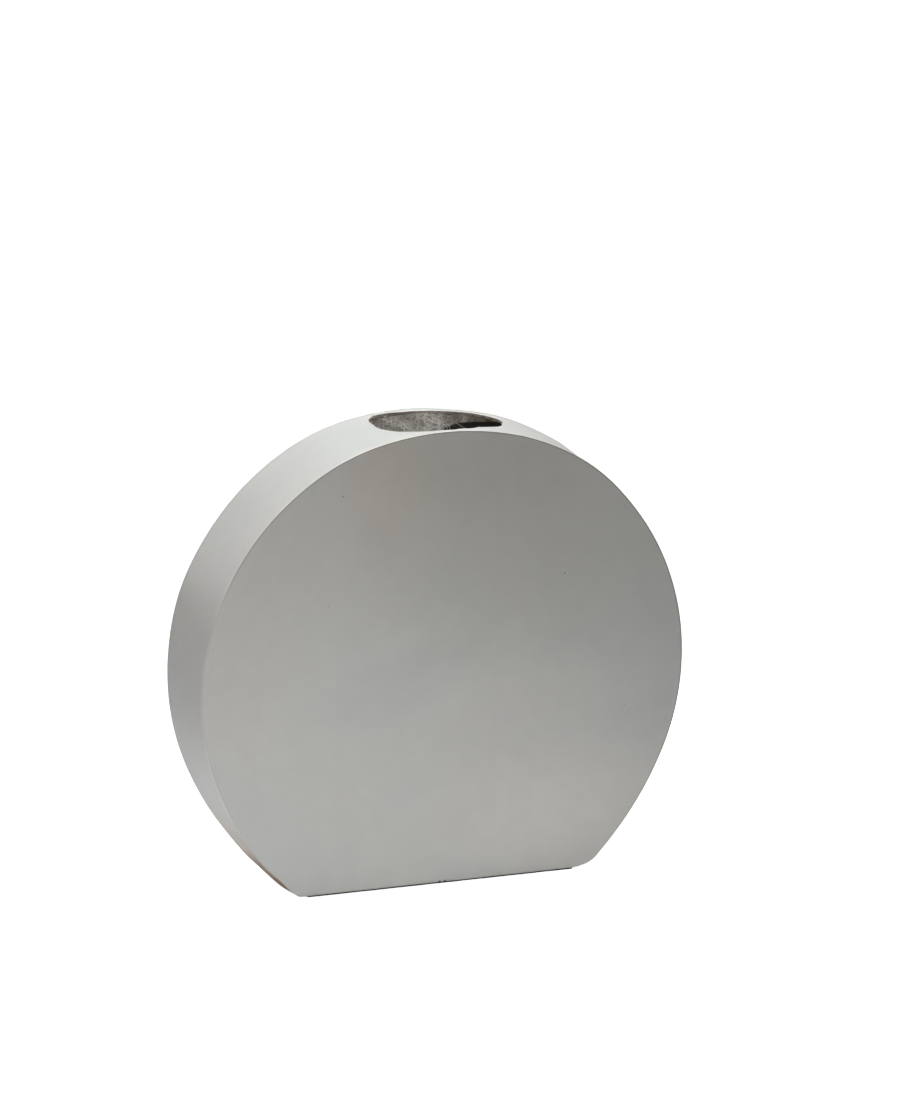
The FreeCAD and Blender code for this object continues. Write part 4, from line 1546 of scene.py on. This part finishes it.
@dataclass
class RearClosure:
    """Back panel, its seam and the bonding tape behind it."""

    finishes: Finishes
    panel_front: float = 47.45 * MM
    seam_inset: float = 3.1 * MM
    seam_depth: float = 50.2 * MM
    seam_radius: float = 0.42 * MM
    seam_columns: int = 360
    seam_sides: int = 10
    unevenness: float = 0.35
    panel_bevel: float = 0.35 * MM
    inset: float = 3.2 * MM
    leg: float = 20 * MM
    feather: float = 1.4 * MM
    bond: float = 0.2 * MM
    thickness: float = 1.5 * MM
    bend: float = 2.2 * MM
    edge: float = 0.45 * MM
    columns: int = 420
    # Room left beside and behind the mouth, which crosses only the crown.
    mouth_side: float = 0.6 * MM
    mouth_rear: float = 0.7 * MM
    crown_from: float = 100 * MM

    def seam(self) -> Object:
        """Return the line of resin pressed out between panel and rim."""
        rows = DiscOutline().places(self.seam_columns)
        curve = bpy.data.curves.new("seam_resin_bead", "CURVE")
        curve.dimensions = "3D"
        line = curve.splines.new("POLY")
        line.points.add(len(rows) - 1)
        places = HandShape().move(inset_ring(rows, self.seam_inset, self.seam_depth))
        for point, place in zip(line.points, places):
            point.co = (*place, 1.0)
        line.use_cyclic_u = True
        source = link("seam_path", curve)
        maker = Maker("seam_bead_sweep")
        path = maker.size("Path", source, "NodeSocketObject")
        radius = maker.size("Radius", self.seam_radius)
        uneven = maker.size("Unevenness", self.unevenness)
        tree = maker.tree
        given = tree.add("GeometryNodeObjectInfo", {"Object": path}).outputs["Geometry"]
        place = tree.add("GeometryNodeInputPosition").outputs[0]
        wave = tree.sum("SUBTRACT", tree.noise(place, 60.0), 0.5)
        thick = tree.plus(1.0, tree.times(uneven, wave))
        sized = tree.add("GeometryNodeSetCurveRadius", {"Curve": given, "Radius": thick})
        swept = maker.swept(sized.outputs[0], radius, self.seam_sides, Scale=thick)
        piece = maker.run(swept, self.finishes.bead,
                          point_cloud("seam_resin_bead", [(0.0, 0.0, 0.0)]))
        bpy.data.objects.remove(source)
        return piece

    def clear_of_mouth(self, rows: np.ndarray, start: np.ndarray) -> np.ndarray:
        """Hold the tape back behind the mouth.

        Args:
            rows: the outline's places and normals.
            start: depth at which the tape begins, one for each place.

        Returns:
            The depths, behind the mouth where it crosses.
        """
        mouth = MouthOutline()
        corner = mouth.rear_corner
        gap = mouth.half_length + self.mouth_side - np.abs(rows[:, 0] - mouth.offset)
        missing = np.clip(corner - gap, 0, corner)
        round_off = corner - np.sqrt(np.clip(corner ** 2 - missing ** 2, 0, None))
        crossed = (rows[:, 1] > self.crown_from) & (gap > 0)
        behind = mouth.far - round_off + self.mouth_rear
        return np.where(crossed, np.maximum(start, behind), start)

    def tape(self) -> Object:
        """Return the L-shaped bonding tape with its feathered, uneven edges."""
        rows = DiscOutline().places(self.columns)
        turns = np.arange(self.columns) / self.columns
        deep = self.panel_front - self.bond
        ragged = ripple(turns, [(37, 0.5, 0.2), (71, 0.35, 1.9), (113, 0.3, 4.4)]) * MM
        reach = self.inset + self.leg - self.feather + ragged
        start = self.clear_of_mouth(rows, deep - self.leg + self.feather + np.roll(ragged, 31))
        bend, thin = self.bend, self.edge
        outer, inner = self.inset + 0.03 * MM, self.inset + self.thickness
        near = deep - self.thickness
        bead = 0.3 * MM * (1 + ripple(turns, [(53, 0.5, 0.8), (89, 0.4, 0.1)]))
        length = deep - start
        # Inset and depth round the section, from the tape's start on the rim.
        section = [
            (outer, start), (outer, deep - 0.5 * length), (outer, deep),
            (0.5 * (outer + reach), deep), (reach, deep), (reach, deep - thin),
            (reach - 3.5 * MM, near + bead * 0.5), (0.6 * reach + 0.4 * inner, near + bead * 0.3),
            (inner + bend, near), (inner + bend * 0.3, np.maximum(near - bend * 0.3, start)),
            (inner, np.maximum(near - bend, start)),
            (inner - bead * 0.4, start + np.minimum(4 * MM, length * 0.4)), (outer + thin, start)]
        sketch = MeshSketch()
        loops = [sketch.add(inset_ring(rows, inset, depth)) for inset, depth in section]
        for one, two in zip(loops, loops[1:] + loops[:1]):
            sketch.strip(one, two, flip=True)
        return sketch.finish("bonding_tape_laid", [self.finishes.tape], HandShape().move,
                             smooth_angle=60.0)

    def build(self) -> None:
        """Build, dress and seat the pieces."""
        seat(merged_copy("back_panel", "back_panel_coated", self.finishes.back,
                         self.panel_bevel, HandShape().move), Slot.BACK, "back_panel")
        seat(self.seam(), Slot.BACK)
        seat(self.tape(), Slot.RAW, "bonding_tape")


@dataclass
class GlassStrands:
    """Loose strands of the chopped mat that stand proud of the resin inside."""

    finishes: Finishes
    density: float = 80000.0
    length: float = 15 * MM
    thickness: float = 0.24 * MM
    bend: float = 10 * MM
    bends: float = 55.0
    shortest: float = 0.45
    longest: float = 1.25
    steps: int = 6
    sides: int = 5
    seed: int = 11
    columns: int = 220
    # Where the dense cover ends: across, its step lower down, and the height it starts from.
    dense_to: float = 58 * MM
    lower_step: float = 20 * MM
    lower_below: float = 445 * MM
    lower_fading: float = 8 * MM
    dense_from: float = 400 * MM
    fading: float = 20 * MM
    bare: float = 0.03
    # Inset and depth of the surface they lie on: the tape's bend, its leg and the panel.
    rows: tuple[tuple[float, float], ...] = (
        (4.9 * MM, 44.4 * MM), (5.2 * MM, 45.4 * MM), (7.0 * MM, 45.7 * MM),
        (22.0 * MM, 45.7 * MM), (25.0 * MM, 47.3 * MM), (60 * MM, 47.42 * MM),
        (130 * MM, 47.42 * MM))

    def host(self) -> Object:
        """Return the surface that the strands lie on, with its cover attribute."""
        rim = DiscOutline().places(self.columns)
        rings = [inset_ring(rim, inset, depth) for inset, depth in self.rows]
        sketch = MeshSketch()
        sketch.chain(sketch.add(rings[0]), rings[1:])
        piece = sketch.finish("glass_strands_rear", [], HandShape().move)
        places = np.array([v.co[:] for v in piece.data.vertices])
        layer = piece.data.attributes.new("cover", "FLOAT", "POINT")
        layer.data.foreach_set("value", self.cover(places))
        return piece

    def cover(self, points: np.ndarray) -> np.ndarray:
        """Give the cover: dense left of the mouth's middle, bare right of it.

        Args:
            points: one row a point.

        Returns:
            Shares of the full density, one for each point.
        """
        x, z = points[:, 0], points[:, 2]
        low = np.clip((self.lower_below - z) / self.lower_fading, 0, 1)
        left = (self.dense_to - self.lower_step * low - x) / self.fading
        high = (z - self.dense_from) / self.fading
        return np.clip(left, self.bare, 1) * np.clip(high, self.bare, 1)

    def scatter(self, piece: Object) -> Object:
        """Lay strands on a surface.

        Args:
            piece: the surface, replaced by the strands.

        Returns:
            The strands as a plain mesh.
        """
        maker = Maker(piece.name + "_scatter")
        density = maker.size("Density", self.density)
        length = maker.size("Length", self.length)
        radius = maker.size("Radius", self.thickness)
        bend = maker.size("Bend", self.bend)
        seed = maker.size("Seed", self.seed, "NodeSocketInt")
        tree, ground = maker.tree, maker.entry.outputs[0]
        cover = tree.add("GeometryNodeInputNamedAttribute", {"Name": "cover"}, data_type="FLOAT")
        spots = tree.add("GeometryNodeDistributePointsOnFaces",
                         {"Mesh": ground, "Density": tree.times(density, cover.outputs[0]),
                          "Seed": seed}, distribute_method="RANDOM")
        line = tree.add("GeometryNodeCurvePrimitiveLine", {"Start": (-0.5, 0.0, 0.0),
                                                           "End": (0.5, 0.0, 0.0)})
        steps = tree.add("GeometryNodeResampleCurve", {"Curve": line.outputs[0],
                                                      "Count": self.steps})
        spun = tree.add("FunctionNodeAxisAngleToRotation",
                        {"Axis": (0.0, 0.0, 1.0), "Angle": maker.random(0.0, math.tau, seed)})
        turned = tree.add("FunctionNodeRotateRotation",
                          {0: spots.outputs["Rotation"], 1: spun.outputs[0]},
                          rotation_space="LOCAL")
        share = maker.random(self.shortest, self.longest, tree.plus(seed, 5.0))
        laid = tree.add("GeometryNodeInstanceOnPoints",
                        {"Points": spots.outputs["Points"], "Instance": steps.outputs[0],
                         "Rotation": turned.outputs[0], "Scale": tree.times(share, length)})
        real = tree.add("GeometryNodeRealizeInstances", {0: laid.outputs[0]})
        drift = tree.drift(tree.add("GeometryNodeInputPosition").outputs[0], self.bends)
        shift = tree.scaled(tree.vector("SUBTRACT", drift, (0.5, 0.5, 0.5)), bend)
        bent = tree.add("GeometryNodeSetPosition", {"Geometry": real.outputs[0],
                                                    "Offset": shift})
        near = tree.add("GeometryNodeProximity", {0: ground}, target_element="FACES")
        pressed = tree.add("GeometryNodeSetPosition",
                           {"Geometry": bent.outputs[0], "Position": near.outputs["Position"]})
        swept = maker.swept(pressed.outputs[0], radius, self.sides, Fill_Caps=True)
        return maker.run(swept, self.finishes.strand, piece, 70.0)

    def build(self) -> None:
        """Build, dress and seat the piece."""
        seat(self.scatter(self.host()), Slot.RAW)


@dataclass
class HangerSet:
    """Keyhole hangers, their blocks and their screws."""

    finishes: Finishes
    half_spacing: float = 110 * MM
    height: float = 325.7 * MM
    screw_reach: float = 19 * MM
    head_radius: float = 3.4 * MM
    shank_radius: float = 1.7 * MM
    core_radius: float = 1.15 * MM
    tip: float = 2.5 * MM
    pitch: float = 1.3 * MM
    recess_depth: float = 1.2 * MM
    recess_reach: float = 2.0 * MM
    recess_arm: float = 0.5 * MM
    recess_middle: float = 1.25 * MM
    recess_wall: float = 0.16 * MM
    recess_end: float = 0.25 * MM
    recess_rise: float = 0.35
    thread_start: float = 1.6 * MM
    crest_half: float = 0.22
    plate_bevel: float = 0.22 * MM
    block_bevel: float = 0.5 * MM
    largest_turn: float = 1.4
    segments: int = 32

    def head(self, turns: np.ndarray) -> list[np.ndarray]:
        """Give the rings of the head's top, with its cross recess.

        Args:
            turns: directions of a ring's points, in radians.

        Returns:
            The rings, from the middle outwards.
        """
        rings = []
        for share in (0.12, 0.2, 0.28, 0.36, 0.44, 0.5, 0.56, 0.62, 0.7, 0.82, 0.94):
            radius = share * self.head_radius
            arm = np.minimum(np.abs(radius * np.cos(turns)), np.abs(radius * np.sin(turns)))
            wall = np.clip((self.recess_arm - arm) / self.recess_wall, 0, 1)
            end = np.clip((self.recess_reach - radius) / self.recess_end, 0, 1)
            rise = self.recess_rise * radius / self.recess_reach
            deep = -self.recess_depth * wall * end * (1 - rise)
            rings.append(round_ring(radius, deep, self.segments))
        return rings

    def screw(self) -> Object:
        """Return one countersunk screw along the depth axis, its head's top at the origin."""
        low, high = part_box("hanger_screws")
        total = high[1] - low[1]
        turns = np.linspace(0, math.tau, self.segments, endpoint=False)
        head_end = self.head_radius - self.shank_radius + 0.25 * MM
        rings = self.head(turns)
        for radius, depth in ((self.head_radius, -0.1 * MM), (self.head_radius, -0.28 * MM),
                              (self.shank_radius, -head_end)):
            rings.append(round_ring(radius, depth, self.segments))
        for depth in np.arange(head_end + 0.2 * MM, total - 0.15 * MM, self.pitch / 7):
            phase = (depth / self.pitch + turns / math.tau) % 1.0
            crest = np.clip(1 - np.abs(phase - 0.5) / self.crest_half, 0, 1)
            taper = min(1.0, (total - depth) / self.tip)
            start = min(1.0, (depth - head_end) / self.thread_start)
            plain = self.shank_radius * (1 - start) + self.core_radius * taper * start
            radius = plain + (self.shank_radius * taper - plain) * crest * start
            rings.append(round_ring(radius, -depth, self.segments))
        sketch = MeshSketch()
        last = sketch.turned(rings, (0.0, -self.recess_middle, 0.0))
        sketch.fan(last, (0.0, -total, 0.0), flip=True)
        return sketch.finish("screw_template", [self.finishes.screw], smooth_angle=35.0)

    def build(self) -> None:
        """Build, dress and seat the pieces."""
        for side in ("left", "right"):
            plate = merged_copy("keyhole_hanger_" + side, "keyhole_plate_" + side,
                                self.finishes.plated, self.plate_bevel)
            seat(plate, Slot.PLATED, "keyhole_hanger_" + side)
            block = merged_copy("hanger_block_" + side, "timber_block_" + side,
                                self.finishes.timber, self.block_bevel)
            seat(block, Slot.TIMBER, "hanger_block_" + side)
        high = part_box("hanger_screws")[1][1]
        places = [(x, high, self.height + z) for x in (-self.half_spacing, self.half_spacing)
                  for z in (-self.screw_reach, self.screw_reach)]
        seat(placed_copies("countersunk_screws", self.screw(), places, self.largest_turn,
                           self.finishes.screw), Slot.SCREW, "hanger_screws")


@dataclass
class WallBumpers:
    """Two soft domes low on the back."""

    finishes: Finishes
    radius: float = 6 * MM
    height: float = 3 * MM
    half_spacing: float = 95 * MM
    centre_z: float = 60.2 * MM
    largest_turn: float = 3.1
    segments: int = 56
    # Shares of the radius and of the height.
    profile: tuple[tuple[float, float], ...] = (
        (0.86, 0.0), (0.985, 0.02), (1.0, 0.1), (1.0, 0.3), (0.985, 0.42), (0.94, 0.56),
        (0.86, 0.7), (0.74, 0.83), (0.58, 0.92), (0.4, 0.975), (0.2, 0.995))

    def dome(self) -> Object:
        """Return one dome, its flat back at the origin's plane."""
        sketch = MeshSketch()
        last = sketch.turned([round_ring(wide * self.radius, high * self.height, self.segments)
                              for wide, high in self.profile], (0.0, 0.0, 0.0))
        sketch.fan(last, (0.0, self.height, 0.0), flip=True)
        return sketch.finish("bumper_template", [self.finishes.bumper_rubber],
                             smooth_angle=50.0)

    def build(self) -> None:
        """Build, dress and seat the piece."""
        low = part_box("wall_bumpers")[0][1]
        places = [(x, low, self.centre_z) for x in (-self.half_spacing, self.half_spacing)]
        seat(placed_copies("wall_bumper_domes", self.dome(), places, self.largest_turn,
                           self.finishes.bumper_rubber), Slot.BUMPER_RUBBER, "wall_bumpers")


@dataclass
class FootPad:
    """Thin dark pad under the foot, cut by hand."""

    finishes: Finishes
    half_width: float = 139.9 * MM
    near: float = -51.4 * MM
    far: float = 49.5 * MM
    thickness: float = 2 * MM
    corner: float = 2.5 * MM
    columns: int = 420
    # Inset and height round the section, in millimetres.
    section: tuple[tuple[float, float], ...] = (
        (3.0, 0.0), (0.35, 0.0), (0.1, 0.1), (0.0, 0.35), (0.05, 1.0), (0.0, 1.7), (0.12, 1.92),
        (0.4, 2.0), (3.0, 2.0))

    def stretches(self) -> Outline:
        """Return the pad's plan, counter-clockwise from the near side's left end."""
        side, near, far = (self.half_width - self.corner, self.near + self.corner,
                           self.far - self.corner)
        centres = ((side, near), (side, far), (-side, far), (-side, near))
        corners = [Arc(centre, self.corner, QUARTER * (k - 1), QUARTER * k)
                   for k, centre in enumerate(centres)]
        plan: Outline = []
        for before, corner in zip(corners[-1:] + corners, corners):
            plan += [Straight(before.at(1.0)[:2], corner.at(0.0)[:2]), corner]
        return plan

    def build(self) -> None:
        """Build, dress and seat the piece."""
        rows = walk(self.stretches(), self.columns)
        along = np.arange(len(rows)) / len(rows)
        wave = 0.22 * MM * (1 + ripple(along, [(19, 0.4, 0.3), (43, 0.35, 1.2), (97, 0.25, 3)]))
        sketch = MeshSketch()
        rings = []
        for inset, z in self.section:
            step = (wave + inset * MM)[:, None]
            rings.append(np.column_stack([rows[:, :2] - step * rows[:, 2:],
                                          np.full(len(rows), z * MM)]))
        loops = [sketch.add(ring) for ring in rings]
        for one, two in zip(loops, loops[1:]):
            sketch.strip(one, two)
        for k, z, flip in ((0, 0.0, True), (-1, self.thickness, False)):
            middle = np.array([0.0, (self.near + self.far) / 2, z])
            inner = [middle + share * (rings[k] - middle) for share in (0.66, 0.33)]
            sketch.fan(sketch.chain(loops[k], inner, flip=flip), middle, flip=flip)
        pad = sketch.finish("foot_pad_cut", [self.finishes.foot_rubber], smooth_angle=50.0)
        seat(pad, Slot.FOOT_RUBBER, "base_pad")


# Studio.
@dataclass(frozen=True)
class SoftBox:
    """One soft light: place, target, width and height, watts, spread in degrees, tint."""

    name: str
    place: Triple
    target: Triple
    size: tuple[float, float]
    power: float
    spread: float = 180.0
    tint: Triple = (1.0, 1.0, 1.0)

    def hang(self) -> None:
        """Add the light to the scene, out of the camera's sight."""
        data = bpy.data.lights.new(self.name, "AREA")
        data.shape = "RECTANGLE"
        data.size, data.size_y = self.size
        data.energy = self.power
        data.spread = math.radians(self.spread)
        data.color = self.tint
        lamp = link(self.name, data)
        lamp.location = self.place
        aim = Vector(self.target) - Vector(self.place)
        lamp.rotation_euler = aim.to_track_quat("-Z", "Y").to_euler()
        lamp.visible_camera = False


@dataclass
class Studio:
    """Pale floor, soft lights and the camera."""

    azimuth: float = -21.4743
    elevation: float = 15.4988
    roll: float = -0.9834
    distance: float = 5.8218
    focal: float = 6000.0
    aim_pixel: tuple[float, float] = (445.5838, 678.3017)
    picture: tuple[float, float] = (901.0, 1100.0)
    aim: Triple = (0.0, -0.05355, 0.2102)
    middle: Triple = (0.0, 0.0, 0.23)
    sensor: float = 36.0
    floor_z: float = -0.2 * MM
    floor_radii: tuple[float, ...] = (0.4, 1.0, 2.2, 4.5, 9.0, 16.0)
    floor_segments: int = 96

    def camera(self) -> None:
        """Set the camera so that the aim falls on its pixel."""
        a, e, r = (math.radians(v) for v in (self.azimuth, self.elevation, self.roll))
        ahead = -Vector((math.sin(a) * math.cos(e), -math.cos(a) * math.cos(e), math.sin(e)))
        across = ahead.cross(Vector((0, 0, 1))).normalized()
        down = ahead.cross(across)
        right = math.cos(r) * across + math.sin(r) * down
        below = -math.sin(r) * across + math.cos(r) * down
        shift_x, shift_y = ((pixel - size / 2) / self.focal * self.distance
                            for pixel, size in zip(self.aim_pixel, self.picture))
        place = Vector(self.aim) - right * shift_x - below * shift_y - ahead * self.distance
        turn = Matrix((right, -below, -ahead)).transposed().to_4x4()
        data = bpy.data.cameras.new("studio_camera")
        data.sensor_width = self.sensor
        data.lens = self.focal * self.sensor / self.picture[1]
        data.clip_end = 60.0
        camera = link("studio_camera", data)
        camera.matrix_world = Matrix.Translation(place) @ turn
        bpy.context.scene.camera = camera

    def floor(self) -> None:
        """Lay the pale floor, so wide that no edge shows."""
        sketch = MeshSketch()
        rings = [round_ring(radius, self.floor_z, self.floor_segments)[:, [0, 2, 1]]
                 for radius in self.floor_radii]
        sketch.turned(rings, (0.0, 0.0, self.floor_z))
        start = open_finish("studio_paper", 0.9)
        tree = start.tree
        tone = tree.colour(tree.noise(start.place, 700.0), (0.86, 0.86, 0.86, 1.0),
                           (0.9, 0.9, 0.9, 1.0))
        tree.feed(start.shader.inputs["Base Color"], tone)
        ray = tree.add("ShaderNodeLightPath").outputs["Is Camera Ray"]
        start.shader.inputs["Emission Color"].default_value = (1.0, 1.0, 1.0, 1.0)
        tree.feed(start.shader.inputs["Emission Strength"], ray)
        floor = sketch.finish("studio_floor", [start.material])
        LOG.info("studio_floor laid")

    def world(self) -> None:
        """Keep the room dim and its walls white."""
        world = bpy.data.worlds.new("studio_room")
        world.use_nodes = True
        bpy.context.scene.world = world
        tree = Tree(world.node_tree)
        back = world.node_tree.nodes["Background"]
        ray = tree.add("ShaderNodeLightPath").outputs["Is Camera Ray"]
        tree.feed(back.inputs["Strength"], tree.sum("MAXIMUM", 0.03, tree.times(ray, 1.1)))
        back.inputs["Color"].default_value = (1.0, 1.0, 1.0, 1.0)

    def lights(self) -> tuple[SoftBox, ...]:
        """Return the soft lights."""
        return (
            SoftBox("right_softbox", (1.8, 0.2, 0.8), self.middle, (1.0, 1.0), 9.2,
                    tint=(0.97, 0.985, 1.0)),
            SoftBox("rear_left_softbox", (-1.4, 1.2, 1.0), self.middle, (1.0, 1.0), 7.6,
                    tint=(1.0, 0.97, 0.977)),
            SoftBox("rear_softbox", (0.3, 1.3, 1.9), self.middle, (1.2, 1.2), 4.3,
                    tint=(0.95, 0.975, 1.0)),
            SoftBox("low_left_softbox", (-0.75, -0.95, 0.25), self.middle, (0.45, 0.4), 2.3,
                    tint=(1.0, 0.99, 0.975)),
            SoftBox("overhead_grid", (0.0, 0.0, 1.5), (0.0, 0.0, 0.0), (0.6, 0.6), 1.93, 60.0,
                    (0.97, 0.985, 1.0)),
            SoftBox("floor_grid", (-0.3, -0.7, 2.2), (-0.3, -0.7, 0.0), (0.8, 0.8), 0.6, 30.0),
            SoftBox("low_card", (0.0, -0.6, 0.06), (0.0, -0.05, 0.12), (0.8, 0.1), 0.25),
            SoftBox("mouth_fill", (-0.004, -0.036, 0.440), (0.0, 0.05, 0.437), (0.08, 0.01),
                    0.044))

    def build(self) -> None:
        """Set floor, room, lights and camera."""
        self.floor()
        self.world()
        for light in self.lights():
            light.hang()
        bpy.context.scene.view_settings.view_transform = "Standard"
        self.camera()


def main() -> None:
    """Build the studio and the vase, piece by piece."""
    logging.basicConfig(level=logging.INFO, format="%(name)s %(message)s")
    Studio().build()
    finishes = Finishes()
    seat(MouldedShell(finishes).build(), Slot.LACQUER, "front_shell")
    for assembly in (RearClosure, GlassStrands, HangerSet, WallBumpers, FootPad):
        assembly(finishes).build()


if __name__ == "__main__":
    main()
